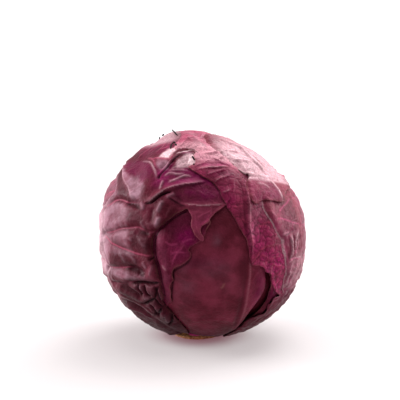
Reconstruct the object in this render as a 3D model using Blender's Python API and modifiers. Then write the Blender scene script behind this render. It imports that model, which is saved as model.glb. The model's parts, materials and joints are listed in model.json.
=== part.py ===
"""A red cabbage head: cut stem stump, closed inner head and the loose outer leaves around it.

The origin is the middle of the stump's cut face, on which the head stands. +Z is up and -Y is
the front. Lengths are metres. Each leaf is an outline in degrees of arc, seen from outside,
measured right and up from the point of the head that the leaf faces. It is laid over the inner
head at its own level, so that every leaf lies clear of the one beneath it.
"""
import math

import bmesh
import bpy
from mathutils import Vector
from mathutils.geometry import delaunay_2d_cdt, intersect_point_line

MM = 0.001

# The inner head. Its outline is given every 30 degrees in the X-Z plane, from +X towards +Z.
HEAD_CENTRE = Vector((4.0 * MM, 0.0, 75.0 * MM))
SIDE_RADII = [r * MM for r in (66.4, 62.2, 58.2, 67.4, 71.8, 71.4, 70.6, 71.2, 73.5, 68.0, 69.1, 69.2)]
FRONT_RADIUS = 70.5 * MM
BACK_RADIUS = 69.0 * MM

# The leaves
LEAF_THICKNESS = 0.9 * MM
LEVEL_STEP = 1.6 * MM
FIRST_GAP = 0.6 * MM
MESH_STEP = 8.5          # degrees between mesh points
EDGE_CLEARANCE = 0.55    # of MESH_STEP, from a leaf's edge to its nearest inner point
CUT_BASE_THICKNESS = 2.4 * MM

# The stump: a flared foot with the cut face under it, a neck and a thicker waist inside the head
STUMP_FOOT = 17.0 * MM
STUMP_FOOT_HEIGHT = 1.1 * MM
STUMP_NECK = 14.2 * MM
STUMP_NECK_HEIGHT = 2.2 * MM
STUMP_WAIST = 15.0 * MM
STUMP_WAIST_HEIGHT = 9.0 * MM
STUMP_HEIGHT = 22.0 * MM
STUMP_RIM = 0.4 * MM
STUMP_SIDES = 40
FIT_GAP = 0.3 * MM

# Which way each leaf faces: degrees round from the front, towards +X.
# Levels count outwards from the inner head.
LEAVES = {
    "front_leaf": dict(facing=0, level=1, colour=(0.13, 0.012, 0.028), outline=[
        (-10, -75), (-24, -67), (-36, -45), (-42, -20), (-44, 10), (-34, 36), (-10, 48), (20, 46),
        (41, 33), (45, 12), (38, -8), (38, -19), (34, -32), (25, -48), (16, -69), (4, -76)]),
    "torn_inner_leaf": dict(facing=0, level=2, colour=(0.21, 0.014, 0.085), outline=[
        (-19, -72), (-24, -60), (-23, -42), (-20, -31), (-17, -23), (-18, -19), (-16, -11),
        (-8, -3), (-7, 2), (-4, 6), (1, 9), (4, 18), (2, 32), (-20, 42), (-42, 36), (-56, 12),
        (-60, -15), (-52, -42), (-36, -60), (-26, -68)]),
    "right_inner_leaf": dict(facing=0, level=2, colour=(0.16, 0.013, 0.045), outline=[
        (20, -72), (24, -58), (33, -44), (37, -35), (39, -25), (37, -14), (34, -4), (34, 10),
        (42, 22), (60, 24), (78, 5), (82, -25), (70, -54), (46, -74), (30, -78)]),
    "left_outer_leaf": dict(facing=0, level=3, colour=(0.12, 0.035, 0.06), outline=[
        (-17, -74), (-14, -65), (-13, -52), (-18, -35), (-20, -28), (-20, -18), (-24, -5),
        (-26, 0), (-25, 8), (-22, 15), (-16, 22), (-9, 25), (-6, 20), (-7, 15), (-3, 10), (1, 9),
        (0, 17), (6, 22), (13, 27), (18, 40), (14, 60), (-2, 78), (-20, 92), (-36, 91), (-61, 73),
        (-69, 54), (-67, 32), (-104, 14), (-116, -8), (-104, -45), (-72, -84), (-40, -94),
        (-26, -88), (-19, -80)]),
    "right_veined_leaf": dict(facing=0, level=4, colour=(0.24, 0.02, 0.09), outline=[
        (25, -5), (24, 6), (20, 13), (12, 28), (8, 37), (0, 43), (-8, 49), (-5, 56), (-10, 64),
        (-18, 64), (-21, 72), (-24, 85), (-30, 95), (-22, 110), (0, 120), (30, 116), (60, 100),
        (78, 70), (84, 40), (80, 10), (70, -15), (58, -28), (49, -31), (42, -24), (37, -12),
        (31, -7)]),
    "right_outer_leaf": dict(facing=0, level=5, colour=(0.28, 0.08, 0.12), outline=[
        (24, -54), (30, -46), (38, -42), (42, -35), (49, -32), (51, -20), (48, -2), (41, 15),
        (36, 22), (33, 34), (46, 46), (70, 58), (95, 58), (112, 35), (120, 0), (108, -40),
        (76, -74), (44, -90), (20, -90), (16, -80), (16, -68)]),
    "top_right_leaf": dict(facing=0, level=6, colour=(0.45, 0.2, 0.24), outline=[
        (25, 48), (26, 40), (29, 29), (43, 30), (53, 29), (62, 38), (80, 45), (98, 62), (92, 85),
        (62, 102), (34, 104), (16, 94), (13, 82), (15, 68), (20, 57)]),
    "back_middle_leaf": dict(facing=180, level=1, colour=(0.16, 0.02, 0.05), outline=[
        (-8, -76), (-30, -65), (-52, -38), (-60, 0), (-54, 38), (-36, 66), (-8, 86), (24, 86),
        (46, 66), (60, 38), (64, 2), (54, -36), (34, -64), (8, -76)]),
    "back_left_leaf": dict(facing=240, level=2, colour=(0.15, 0.04, 0.07), outline=[
        (-4, -75), (-18, -66), (-40, -42), (-50, -10), (-44, 24), (-24, 46), (0, 58), (26, 62),
        (50, 50), (60, 30), (56, 10), (44, -10), (36, -34), (26, -56), (12, -74)]),
    "back_right_leaf": dict(facing=140, level=3, colour=(0.2, 0.03, 0.07), outline=[
        (-8, -76), (-26, -63), (-42, -36), (-46, 0), (-38, 34), (-14, 56), (14, 58), (36, 36),
        (42, 2), (36, -34), (22, -62), (10, -76)]),
}

# Short thick remains of outermost leaves that were cut off beside the stump
CUT_BASES = {
    "cut_leaf_base_front": dict(facing=0, level=2, outline=[
        (-11, -67), (-5, -65.5), (1, -67), (2, -75), (-5, -76.5), (-13, -75.5)]),
    "cut_leaf_base_back": dict(facing=190, level=2, outline=[
        (-4, -67), (2, -64), (8, -66), (8, -75), (2, -76.5), (-3, -75)]),
}

LEAF_ROUGHNESS = 0.4
CUT_FLESH_COLOUR = (0.33, 0.03, 0.12)
INNER_HEAD_COLOUR = (0.3, 0.07, 0.14)
STUMP_COLOUR = (0.42, 0.26, 0.14)


def remove_everything():
    for thing in list(bpy.data.objects):
        bpy.data.objects.remove(thing)


def make_collection(name):
    group = bpy.data.collections.new(name)
    bpy.context.scene.collection.children.link(group)
    return group


def make_material(name, colour, roughness):
    material = bpy.data.materials.new(name)
    material.use_nodes = True
    shader = material.node_tree.nodes["Principled BSDF"]
    shader.inputs["Base Color"].default_value = (*colour, 1.0)
    shader.inputs["Roughness"].default_value = roughness
    shader.inputs["Metallic"].default_value = 0.0
    return material


def make_part(name, mesh, group, colour, roughness=LEAF_ROUGHNESS):
    """A named object with its own material, smooth except across the cut edges."""
    mesh.name = name
    mesh.materials.append(make_material(name, colour, roughness))
    mesh.shade_smooth()
    mesh.set_sharp_from_angle(angle=math.radians(50))
    part = bpy.data.objects.new(name, mesh)
    group.objects.link(part)
    return part


def side_radius(turn):
    """Radius of the inner head's outline at an angle in the X-Z plane, smoothly between points."""
    place = (turn / math.tau % 1.0) * len(SIDE_RADII)
    first = int(place)
    part = place - first
    a, b, c, d = (SIDE_RADII[(first + k) % len(SIDE_RADII)] for k in (-1, 0, 1, 2))
    slope_b = (c - a) / 2
    slope_c = (d - b) / 2
    bend = 3 * (c - b) - 2 * slope_b - slope_c
    twist = slope_b + slope_c - 2 * (c - b)
    return b + part * (slope_b + part * (bend + part * twist))


def head_radius(direction):
    """Distance from the head's centre to the inner head's surface along a unit vector."""
    middle = FRONT_RADIUS if direction.y < 0 else BACK_RADIUS
    sideways = 1 - direction.y ** 2
    return middle + (side_radius(math.atan2(direction.z, direction.x)) - middle) * sideways


def direction_at(right, up, facing):
    """Unit vector to a place given in degrees of arc right and up from where a leaf faces."""
    arc = math.radians(math.hypot(right, up))
    turn = math.atan2(up, right)
    around = math.radians(facing)
    outward = Vector((math.sin(around), -math.cos(around), 0.0))
    rightward = Vector((math.cos(around), math.sin(around), 0.0))
    sideways = rightward * math.cos(turn) + Vector((0.0, 0.0, math.sin(turn)))
    return outward * math.cos(arc) + sideways * math.sin(arc)


def on_head(right, up, facing, height):
    """Point at a height over the inner head."""
    direction = direction_at(right, up, facing)
    return HEAD_CENTRE + direction * (head_radius(direction) + height)


def split_outline(outline, step):
    """The outline's corners, with points added so that none is further than a step from the next."""
    points = []
    for start, end in zip(outline, outline[1:] + outline[:1]):
        start, end = Vector(start), Vector(end)
        parts = max(1, math.ceil((end - start).length / step))
        points += [start.lerp(end, k / parts) for k in range(parts)]
    return points


def is_inside(point, edge):
    inside = False
    for a, b in zip(edge, edge[1:] + edge[:1]):
        if (a.y > point.y) != (b.y > point.y):
            crossing = a.x + (point.y - a.y) / (b.y - a.y) * (b.x - a.x)
            inside ^= point.x < crossing
    return inside


def edge_distance(point, edge):
    def to_segment(a, b):
        nearest, along = intersect_point_line(point, a, b)
        nearest = a.lerp(b, min(1.0, max(0.0, along)))
        return (point - nearest).length
    return min(to_segment(a, b) for a, b in zip(edge, edge[1:] + edge[:1]))


def inner_points(edge, step):
    """A triangular grid of points inside an outline, clear of its edge."""
    row_step = step * math.sqrt(3) / 2
    left = min(p.x for p in edge)
    low = min(p.y for p in edge)
    columns = int((max(p.x for p in edge) - left) / step) + 1
    rows = int((max(p.y for p in edge) - low) / row_step) + 1
    points = []
    for row in range(1, rows + 1):
        for column in range(columns + 1):
            point = Vector((left + (column + row % 2 / 2) * step, low + row * row_step))
            if is_inside(point, edge) and edge_distance(point, edge) > EDGE_CLEARANCE * step:
                points.append(point)
    return points


def blade_mesh(outline, facing, height, step):
    """An open sheet in the shape of an outline, laid over the inner head at a height."""
    edge = split_outline(outline, step)
    points = edge + inner_points(edge, step)
    rim = [(k, (k + 1) % len(edge)) for k in range(len(edge))]
    flat, _, faces, _, _, _ = delaunay_2d_cdt(points, rim, [], 1, 1e-5)
    mesh = bpy.data.meshes.new("blade")
    mesh.from_pydata([on_head(p.x, p.y, facing, height) for p in flat], [], faces)
    sheet = bmesh.new()
    sheet.from_mesh(mesh)
    for face in sheet.faces:
        if face.normal.dot(face.calc_center_median() - HEAD_CENTRE) < 0:
            face.normal_flip()
    sheet.to_mesh(mesh)
    sheet.free()
    return mesh


def thicken(part, thickness):
    """Gives an open sheet its thickness, outwards."""
    solid = part.modifiers.new("thickness", "SOLIDIFY")
    solid.thickness = thickness
    solid.offset = 1.0
    solid.use_even_offset = True


def level_height(level):
    """Height of the underside of a leaf over the inner head."""
    return FIRST_GAP + (level - 1) * LEVEL_STEP


def make_leaf(name, spec, group):
    mesh = blade_mesh(spec["outline"], spec["facing"], level_height(spec["level"]), MESH_STEP)
    leaf = make_part(name, mesh, group, spec["colour"])
    thicken(leaf, LEAF_THICKNESS)


def make_cut_base(name, spec, group):
    mesh = blade_mesh(spec["outline"], spec["facing"], level_height(spec["level"]), MESH_STEP / 2)
    base = make_part(name, mesh, group, CUT_FLESH_COLOUR)
    thicken(base, CUT_BASE_THICKNESS)


def make_inner_head(group, cutter):
    """The tight leaves in the middle, as one body, with a socket that the stump runs up into."""
    ball = bmesh.new()
    bmesh.ops.create_icosphere(ball, subdivisions=4, radius=1.0)
    for vert in ball.verts:
        direction = vert.co.normalized()
        vert.co = HEAD_CENTRE + direction * head_radius(direction)
    mesh = bpy.data.meshes.new("inner_head")
    ball.to_mesh(mesh)
    ball.free()
    head = make_part("inner_head", mesh, group, INNER_HEAD_COLOUR)
    cut = head.modifiers.new("stump_socket", "BOOLEAN")
    cut.operation = "DIFFERENCE"
    cut.solver = "EXACT"
    cut.object = cutter


def make_socket_cutter(group):
    socket = bmesh.new()
    bmesh.ops.create_cone(socket, cap_ends=True, segments=STUMP_SIDES, depth=STUMP_HEIGHT,
                          radius1=STUMP_WAIST + FIT_GAP, radius2=STUMP_WAIST + FIT_GAP)
    bmesh.ops.translate(socket, verts=socket.verts, vec=(0, 0, STUMP_HEIGHT / 2 + FIT_GAP))
    mesh = bpy.data.meshes.new("stump_socket_cutter")
    socket.to_mesh(mesh)
    socket.free()
    cutter = bpy.data.objects.new("stump_socket_cutter", mesh)
    cutter.hide_render = True
    cutter.display_type = "WIRE"
    group.objects.link(cutter)
    return cutter


def make_stump(group):
    """A turned stub of stem, flat and splayed where it was cut and thicker inside the head."""
    profile = [(0.0, STUMP_HEIGHT), (STUMP_WAIST - STUMP_RIM, STUMP_HEIGHT),
               (STUMP_WAIST, STUMP_HEIGHT - STUMP_RIM), (STUMP_WAIST, STUMP_WAIST_HEIGHT),
               (STUMP_NECK, STUMP_NECK_HEIGHT), (STUMP_FOOT, STUMP_FOOT_HEIGHT),
               (STUMP_FOOT, STUMP_RIM), (STUMP_FOOT - STUMP_RIM, 0.0), (0.0, 0.0)]
    mesh = bpy.data.meshes.new("stem_stump")
    joints = [(k, k + 1) for k in range(len(profile) - 1)]
    mesh.from_pydata([(radius, 0.0, height) for radius, height in profile], joints, [])
    stump = make_part("stem_stump", mesh, group, STUMP_COLOUR, roughness=0.8)
    turn = stump.modifiers.new("turned", "SCREW")
    turn.steps = STUMP_SIDES
    turn.render_steps = STUMP_SIDES
    turn.use_merge_vertices = True
    turn.merge_threshold = 0.00001


def main():
    remove_everything()
    group = make_collection("cabbage_head")
    cutters = make_collection("cutters")
    make_stump(group)
    make_inner_head(group, make_socket_cutter(cutters))
    for name, spec in LEAVES.items():
        make_leaf(name, spec, group)
    for name, spec in CUT_BASES.items():
        make_cut_base(name, spec, group)


main()
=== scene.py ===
"""Looks of the red cabbage head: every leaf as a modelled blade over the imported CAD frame.

Places on the head are (right, up) in degrees of arc, seen from outside, from the point that a
leaf faces. Heights over the head are in millimetres. The head's centre, size and outline all come
from the CAD model: the leaves are laid one on another just inside the envelope of the CAD leaves.
"""
import itertools
import json
import math

import bmesh
import bpy
import numpy as np
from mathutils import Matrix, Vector
from mathutils.bvhtree import BVHTree
from mathutils.geometry import delaunay_2d_cdt
from mathutils.kdtree import KDTree


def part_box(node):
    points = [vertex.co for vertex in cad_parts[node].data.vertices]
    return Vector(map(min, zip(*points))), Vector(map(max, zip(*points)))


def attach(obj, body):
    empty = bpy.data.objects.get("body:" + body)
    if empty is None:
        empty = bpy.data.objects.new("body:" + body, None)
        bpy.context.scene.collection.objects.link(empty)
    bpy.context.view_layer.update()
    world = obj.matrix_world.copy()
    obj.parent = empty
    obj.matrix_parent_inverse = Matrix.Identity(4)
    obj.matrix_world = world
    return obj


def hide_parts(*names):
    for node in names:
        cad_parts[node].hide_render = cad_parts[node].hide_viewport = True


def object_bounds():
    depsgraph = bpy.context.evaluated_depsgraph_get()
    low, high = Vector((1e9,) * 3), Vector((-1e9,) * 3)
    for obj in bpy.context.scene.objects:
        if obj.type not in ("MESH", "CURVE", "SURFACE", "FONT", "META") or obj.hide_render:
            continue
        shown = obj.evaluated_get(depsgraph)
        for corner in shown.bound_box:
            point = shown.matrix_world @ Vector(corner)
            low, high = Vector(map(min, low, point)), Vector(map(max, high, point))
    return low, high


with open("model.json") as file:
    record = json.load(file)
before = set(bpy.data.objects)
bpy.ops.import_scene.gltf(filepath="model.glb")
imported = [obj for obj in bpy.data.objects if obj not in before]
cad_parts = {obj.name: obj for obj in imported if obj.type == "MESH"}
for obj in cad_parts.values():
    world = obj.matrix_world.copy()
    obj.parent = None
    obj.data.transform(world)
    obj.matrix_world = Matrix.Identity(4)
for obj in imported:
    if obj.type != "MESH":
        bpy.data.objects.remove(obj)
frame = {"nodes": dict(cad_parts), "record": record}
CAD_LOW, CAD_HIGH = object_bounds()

MM = 0.001
CENTRE = np.array([(CAD_LOW[0] + CAD_HIGH[0]) / 2, 0.0, (CAD_LOW[2] + CAD_HIGH[2]) / 2])
HEAD_RADIUS = (CAD_HIGH[0] - CAD_LOW[0]) / 2
DEGREE = math.radians(1) * HEAD_RADIUS / MM      # millimetres to a degree of arc

MESH_STEP = 0.8          # degrees, for a plain leaf
FINE_STEP = 0.58         # degrees, for the leaves with the most folds and veins
TRIAL_STEP = 2.2         # degrees, for leaves laid only to see how far out they come
THICKNESS = 0.65         # mm, a leaf's blade
AIR = 0.25               # mm, between one leaf and the next
SINK = 4.0               # mm, from the loosest leaves down to the closed head

VIEW_HEIGHT = math.radians(12)     # the head is seen from the front and this much above
SEEN_FROM = np.array([0.0, -math.cos(VIEW_HEIGHT), math.sin(VIEW_HEIGHT)])
SEEN_UP = np.array([0.0, math.sin(VIEW_HEIGHT), math.cos(VIEW_HEIGHT)])


# ---------------------------------------------------------------- places on the head

def directions(right, up, facing=0.0):
    """Unit vectors to places given in degrees from where a leaf faces."""
    right, up = np.asarray(right, float), np.asarray(up, float)
    arc = np.radians(np.hypot(right, up))[:, None]
    turn = np.arctan2(up, right)[:, None]
    around = math.radians(facing)
    outward = np.array([math.sin(around), -math.cos(around), 0.0])
    rightward = np.array([math.cos(around), math.sin(around), 0.0])
    sideways = np.cos(turn) * rightward + np.sin(turn) * np.array([0.0, 0.0, 1.0])
    return np.cos(arc) * outward + np.sin(arc) * sideways


def places(vectors, facing=0.0):
    """Degrees right and up from where a leaf faces, of unit vectors."""
    around = math.radians(facing)
    outward = vectors @ np.array([math.sin(around), -math.cos(around), 0.0])
    rightward = vectors @ np.array([math.cos(around), math.sin(around), 0.0])
    arc = np.degrees(np.arccos(np.clip(outward, -1, 1)))
    turn = np.arctan2(vectors[:, 2], rightward)
    return arc * np.cos(turn), arc * np.sin(turn)


def even_directions(count):
    """Unit vectors spread evenly over the whole sphere."""
    k = np.arange(count) + 0.5
    height = 1 - 2 * k / count
    turn = k * math.pi * (3 - math.sqrt(5))
    flat = np.sqrt(1 - height ** 2)
    return np.stack([flat * np.cos(turn), flat * np.sin(turn), height], axis=1)


def spline(points, per_span=8, closed=False):
    """A smooth line through given points."""
    p = np.asarray(points, float)
    if closed:
        p = np.vstack([p[-1:], p, p[:2]])
    else:
        p = np.vstack([2 * p[:1] - p[1:2], p, 2 * p[-1:] - p[-2:-1]])
    line = []
    for a, b, c, d in zip(p, p[1:], p[2:], p[3:]):
        t = np.linspace(0, 1, per_span, endpoint=False)[:, None]
        line.append(b + t * (c - a) / 2 + t ** 2 * (a - 2.5 * b + 2 * c - d / 2)
                    + t ** 3 * (1.5 * b - 1.5 * c + (d - a) / 2))
    line = np.vstack(line)
    return line if closed else np.vstack([line, p[-2:-1]])


# ---------------------------------------------------------------- smooth random shapes

TABLE_SIZE = 512
TABLE = np.random.default_rng(7).permutation(TABLE_SIZE)
SLOPES = even_directions(64)


def shuffled(numbers):
    """Whole numbers mixed up, always in the same way."""
    return TABLE[numbers % TABLE_SIZE]


def noise(points, size, seed=0):
    """Smooth bumps about a given size across, between -1 and 1, at an array of 3-D points."""
    cell = points / size + seed * 17.3
    corner = np.floor(cell).astype(int)
    part = cell - corner
    ease = part ** 3 * (part * (part * 6 - 15) + 10)
    total = np.zeros(len(points))
    for step in itertools.product((0, 1), repeat=3):
        at = corner + step
        mixed = shuffled(shuffled(shuffled(at[:, 0]) + at[:, 1]) + at[:, 2])
        slope = SLOPES[mixed % len(SLOPES)]
        weight = np.where(step, ease, 1 - ease).prod(axis=1)
        total += weight * (slope * (part - step)).sum(axis=1)
    return total * 1.6


def wall_distance(right, up, size, seed=0):
    """For each place, the distance in mm to the nearest wall of a net of uneven cells."""
    place = np.stack([right, up], axis=1) * DEGREE / size + seed * 31.7
    home = np.floor(place).astype(int)
    first = np.full(len(place), 9.0)
    second = np.full(len(place), 9.0)
    for step in itertools.product((-1, 0, 1), repeat=2):
        at = home + step
        pick = shuffled(shuffled(at[:, 0]) + at[:, 1])
        middle = at + 0.5 + 0.42 * np.stack([np.cos(pick * 2.4), np.sin(pick * 3.7)], axis=1)
        gap = np.hypot(*(place - middle).T)
        second = np.where(gap < first, first, np.minimum(second, gap))
        first = np.minimum(first, gap)
    return (second - first) / 2 * size


def between(values, low, high):
    """0 below low, 1 above high and a smooth rise between."""
    t = np.clip((values - low) / (high - low), 0, 1)
    return t * t * (3 - 2 * t)


# ---------------------------------------------------------------- outlines of the leaves

# From the innermost leaf out. facing: degrees round the head to the right from the front. bulk: mm
# that the leaf takes up over the ball. tear: degrees of roughness along its edge.
LEAVES = {
    "front_leaf": dict(facing=0, bulk=1.2, tear=0.1, outline=[
        (-10, -75), (-24, -67), (-36, -45), (-42, -20), (-44, 10), (-34, 36), (-10, 48),
        (20, 46), (40, 32), (44, 12), (40, 0), (37, -10), (38, -19), (37, -25), (34, -32),
        (30, -39), (26, -46), (22, -54), (15, -68), (4, -76)]),
    "torn_inner_leaf": dict(facing=0, bulk=1.2, tear=0.5, outline=[
        (-19, -72), (-24, -60), (-23, -42), (-20, -30.5), (-18, -28), (-18, -24), (-17, -22),
        (-17.4, -19), (-17, -16), (-16, -13), (-16.5, -10.5), (-16, -8), (-14, -6), (-11, -4),
        (-8, -2), (-6.5, 0), (-6.5, 2), (-7.5, 3.5), (-6, 5), (-3, 7), (0, 9), (2, 14), (4, 20), (2, 32),
        (-20, 42), (-42, 36), (-56, 12), (-60, -15), (-52, -42), (-36, -60), (-26, -68)]),
    "right_inner_leaf": dict(facing=0, bulk=1.2, tear=0.3, outline=[
        (20, -72), (25, -56), (31, -47), (37, -38), (40, -32), (41.5, -24), (39, -14), (36, -5),
        (34, 10), (42, 22), (60, 24), (78, 5), (82, -25), (70, -54), (46, -74), (30, -78)]),
    "back_middle_leaf": dict(facing=180, bulk=3.8, tear=0.3, outline=[
        (-8, -76), (-30, -65), (-52, -38), (-60, 0), (-54, 38), (-36, 66), (-8, 86), (24, 86),
        (46, 66), (60, 38), (64, 2), (54, -36), (34, -64), (8, -76)]),
    "back_left_leaf": dict(facing=240, bulk=2.6, tear=0.4, outline=[
        (-4, -75), (-18, -66), (-40, -42), (-50, -10), (-44, 24), (-24, 46), (0, 58), (26, 60),
        (48, 48), (58, 30), (56, 12), (44, -10), (36, -34), (26, -56), (12, -74)]),
    "left_outer_leaf": dict(facing=0, bulk=5.2, tear=0.35, step=FINE_STEP, outline=[
        (-13, -74), (-9.5, -64), (-10, -56), (-14, -46), (-19.5, -36), (-22.5, -31), (-22.4, -26),
        (-23, -20), (-23.8, -14), (-24.5, -11), (-25.8, -6), (-27.4, -1), (-28, 2), (-28, 8),
        (-27.4, 11), (-26, 13.6), (-22.8, 15.8), (-18.8, 19.5), (-14.5, 22.7), (-10, 25), (-8.2, 25),
        (-7, 23), (-6, 20), (-6.3, 16), (-5, 13), (-3, 10), (-0.5, 8.2), (0.6, 10), (-0.8, 12.5),
        (-1, 15), (1, 17), (3, 18.5), (4, 20), (6, 22.5), (8, 24), (12, 27), (18, 36), (20, 50),
        (12, 64), (0, 74), (-10, 84), (-20, 92), (-33, 91), (-46, 85), (-61, 73), (-68, 65),
        (-69, 54), (-66, 42), (-67, 31), (-82, 22), (-104, 14), (-116, -8), (-104, -45),
        (-72, -84), (-40, -94), (-26, -88), (-19, -80)]),
    "back_right_leaf": dict(facing=140, bulk=3.8, tear=0.4, outline=[
        (-8, -76), (-26, -63), (-42, -36), (-46, 0), (-38, 34), (-14, 56), (14, 58), (36, 36),
        (42, 2), (36, -34), (22, -62), (10, -76)]),
    "right_veined_leaf": dict(facing=0, bulk=1.8, tear=0.35, step=FINE_STEP, outline=[
        (25.3, -5), (24.5, -1), (24, 6), (22.5, 10), (20, 14), (16.5, 21), (13, 27), (10, 33), (8, 37),
        (5, 40.5), (1, 43), (-3, 45.5), (-7, 48), (-9, 50), (-6, 52), (-4.5, 54), (-6, 58), (-5, 62),
        (-8, 64), (-14, 65), (-18, 64), (-21, 70), (-21, 83), (-24, 90), (-28, 96), (-26, 106),
        (-10, 118), (20, 120), (50, 106), (74, 78), (84, 45), (82, 15), (74, -12), (60, -28),
        (49, -31), (46, -29), (43, -26), (41, -22), (39, -17), (38, -13), (35, -11), (33, -8),
        (30, -6.5)]),
    "right_outer_leaf": dict(facing=0, bulk=1.6, tear=0.25, outline=[
        (24, -54), (30, -45), (38, -42), (40, -35), (44, -32), (49, -32), (50, -27), (50, -22),
        (51, -15), (50, -9), (49, -5), (47.3, 0), (47.3, 5), (46, 7), (43, 11), (40.5, 16), (38, 20),
        (36, 24), (35.3, 28), (38, 36), (48, 44), (70, 56), (95, 56), (112, 35), (120, 0),
        (108, -40), (76, -74), (44, -90), (20, -90), (16, -80), (17, -68)]),
    "top_right_leaf": dict(facing=0, bulk=1.6, tear=0.25, outline=[
        (14, 98), (2, 90), (2, 80), (4, 72), (8, 66), (14, 60), (19, 54.5), (25, 48.5), (29, 46),
        (26, 40), (26.5, 33), (28.5, 28.5), (31, 28), (34, 29.5), (37, 30), (40, 29.5), (45, 29.3),
        (52, 29), (56, 33), (62, 38), (80, 45), (98, 62), (92, 85), (62, 102), (34, 104)]),
}


# ---------------------------------------------------------------- the head under the leaves

def tree_of(vertices, triangles):
    """The surface in a form that rays can be cast at."""
    return BVHTree.FromPolygons([tuple(v) for v in vertices], [tuple(t) for t in triangles])


def mesh_arrays(mesh):
    """A mesh's vertices and triangles as arrays."""
    mesh.calc_loop_triangles()
    vertices = np.empty(len(mesh.vertices) * 3)
    mesh.vertices.foreach_get("co", vertices)
    triangles = np.empty(len(mesh.loop_triangles) * 3, dtype=int)
    mesh.loop_triangles.foreach_get("vertices", triangles)
    return vertices.reshape(-1, 3), triangles.reshape(-1, 3)


def outer_radius(trees, vectors, default=0.0):
    """Distance from the head's centre to the outermost of some surfaces, along each vector."""
    far = 1.6 * HEAD_RADIUS
    radii = np.full(len(vectors), default)
    for tree in trees:
        for k, vector in enumerate(vectors):
            _, _, _, distance = tree.ray_cast(CENTRE + vector * far, -vector, far)
            if distance is not None:
                radii[k] = max(radii[k], far - distance)
    return radii


def is_inside(right, up, outline):
    """Which places lie inside an outline."""
    inside = np.zeros(len(right), dtype=bool)
    line = np.asarray(outline, float)
    for (ax, ay), (bx, by) in zip(line, np.roll(line, -1, axis=0)):
        if ay != by:
            crossing = ax + (up - ay) / (by - ay) * (bx - ax)
            inside ^= ((ay > up) != (by > up)) & (right < crossing)
    return inside


class Head:
    """The smooth ball that the loose leaves lie on: the CAD envelope less the leaves' bulk."""
    SAMPLES = 1400
    SHARPNESS = 90.0
    UNDER = 0.5             # mm, how far under the CAD envelope the leaves lie on average
    # mm taken off the outline seen from the front, anticlockwise by degrees from the right
    OUTLINE_TRIM = {
        0: -0.3, 10: 0, 20: 1.2, 30: 2.8, 45: 4.0, 60: 3.4, 75: 3.0, 83: 2.2, 90: 0, 100: -2.4, 107: 0,
        120: 0, 130: 1.0, 140: 0, 148: -2.0, 158: -2.4, 168: -1.6, 180: -1.6, 190: -0.6, 198: -2.2,
        210: -1.6, 225: 0}
    HOLLOW_DEPTH = 4.5      # mm, where the leaves draw in to the stump, in front
    HOLLOW_TOWARD = np.array([-0.1, -0.23, -0.968])
    HOLLOW_RIM, HOLLOW_FLOOR = math.cos(math.radians(15)), math.cos(math.radians(6))
    LARGEST_MOVE = 6.0      # mm, in one round of fitting
    OPEN_PART = (-0.97, -0.92)      # height on a unit ball where the opening round the stump ends
    CHUNK = 4000            # places worked out at once

    def __init__(self):
        self.vectors = even_directions(self.SAMPLES)
        trees = [tree_of(*mesh_arrays(node.data)) for node in frame["nodes"].values()]
        self.envelope = outer_radius(trees, self.vectors, HEAD_RADIUS)
        self.radii = self.envelope.copy()
        for spec in LEAVES.values():
            right, up = places(self.vectors, spec["facing"])
            self.radii -= is_inside(right, up, spec["outline"]) * spec["bulk"] * MM

    def fit(self, stack):
        """Moves the ball in or out so that the leaves laid on it come just under the envelope."""
        reached = outer_radius(stack.trees, self.vectors)
        turn = np.degrees(np.arctan2(self.vectors @ SEEN_UP, self.vectors[:, 0]))
        trim = np.interp(turn, list(self.OUTLINE_TRIM), list(self.OUTLINE_TRIM.values()), period=360)
        under = self.UNDER + trim * (1 - (self.vectors @ SEEN_FROM) ** 2) ** 2
        excess = np.where(reached > 0, reached - self.envelope + under * MM, 0)
        covered = between(self.vectors[:, 2], *self.OPEN_PART)
        self.radii -= np.clip(excess, -self.LARGEST_MOVE * MM, self.LARGEST_MOVE * MM) * covered

    def plain_radius(self, vectors):
        """The samples' radii, blended."""
        total = np.empty(len(vectors))
        for start in range(0, len(vectors), self.CHUNK):
            part = vectors[start:start + self.CHUNK]
            weight = np.exp(self.SHARPNESS * (part @ self.vectors.T - 1))
            total[start:start + self.CHUNK] = weight @ self.radii / weight.sum(axis=1)
        return total

    def radius(self, vectors):
        """Metres from the centre to the ball along each vector."""
        hollow = between(vectors @ self.HOLLOW_TOWARD, self.HOLLOW_RIM, self.HOLLOW_FLOOR)
        return self.plain_radius(vectors) - self.HOLLOW_DEPTH * MM * hollow


# ---------------------------------------------------------------- a leaf's sheet

# Colour marks, each 0 to 1 over a leaf: veins, magenta skin, wax dust with painted sheen, pale skin with
# painted highlights, painted shade and the veined leaf's dark net, painted near-black shade in slits and
# gaps, and the browned rim. The leaf materials read them by these names.
MARKS = ("rib", "magenta", "bloom_and_sheen", "pale", "dark", "slit", "rim")
LINE_REACH = 12          # degrees, beyond which a line on a leaf has no effect


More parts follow.
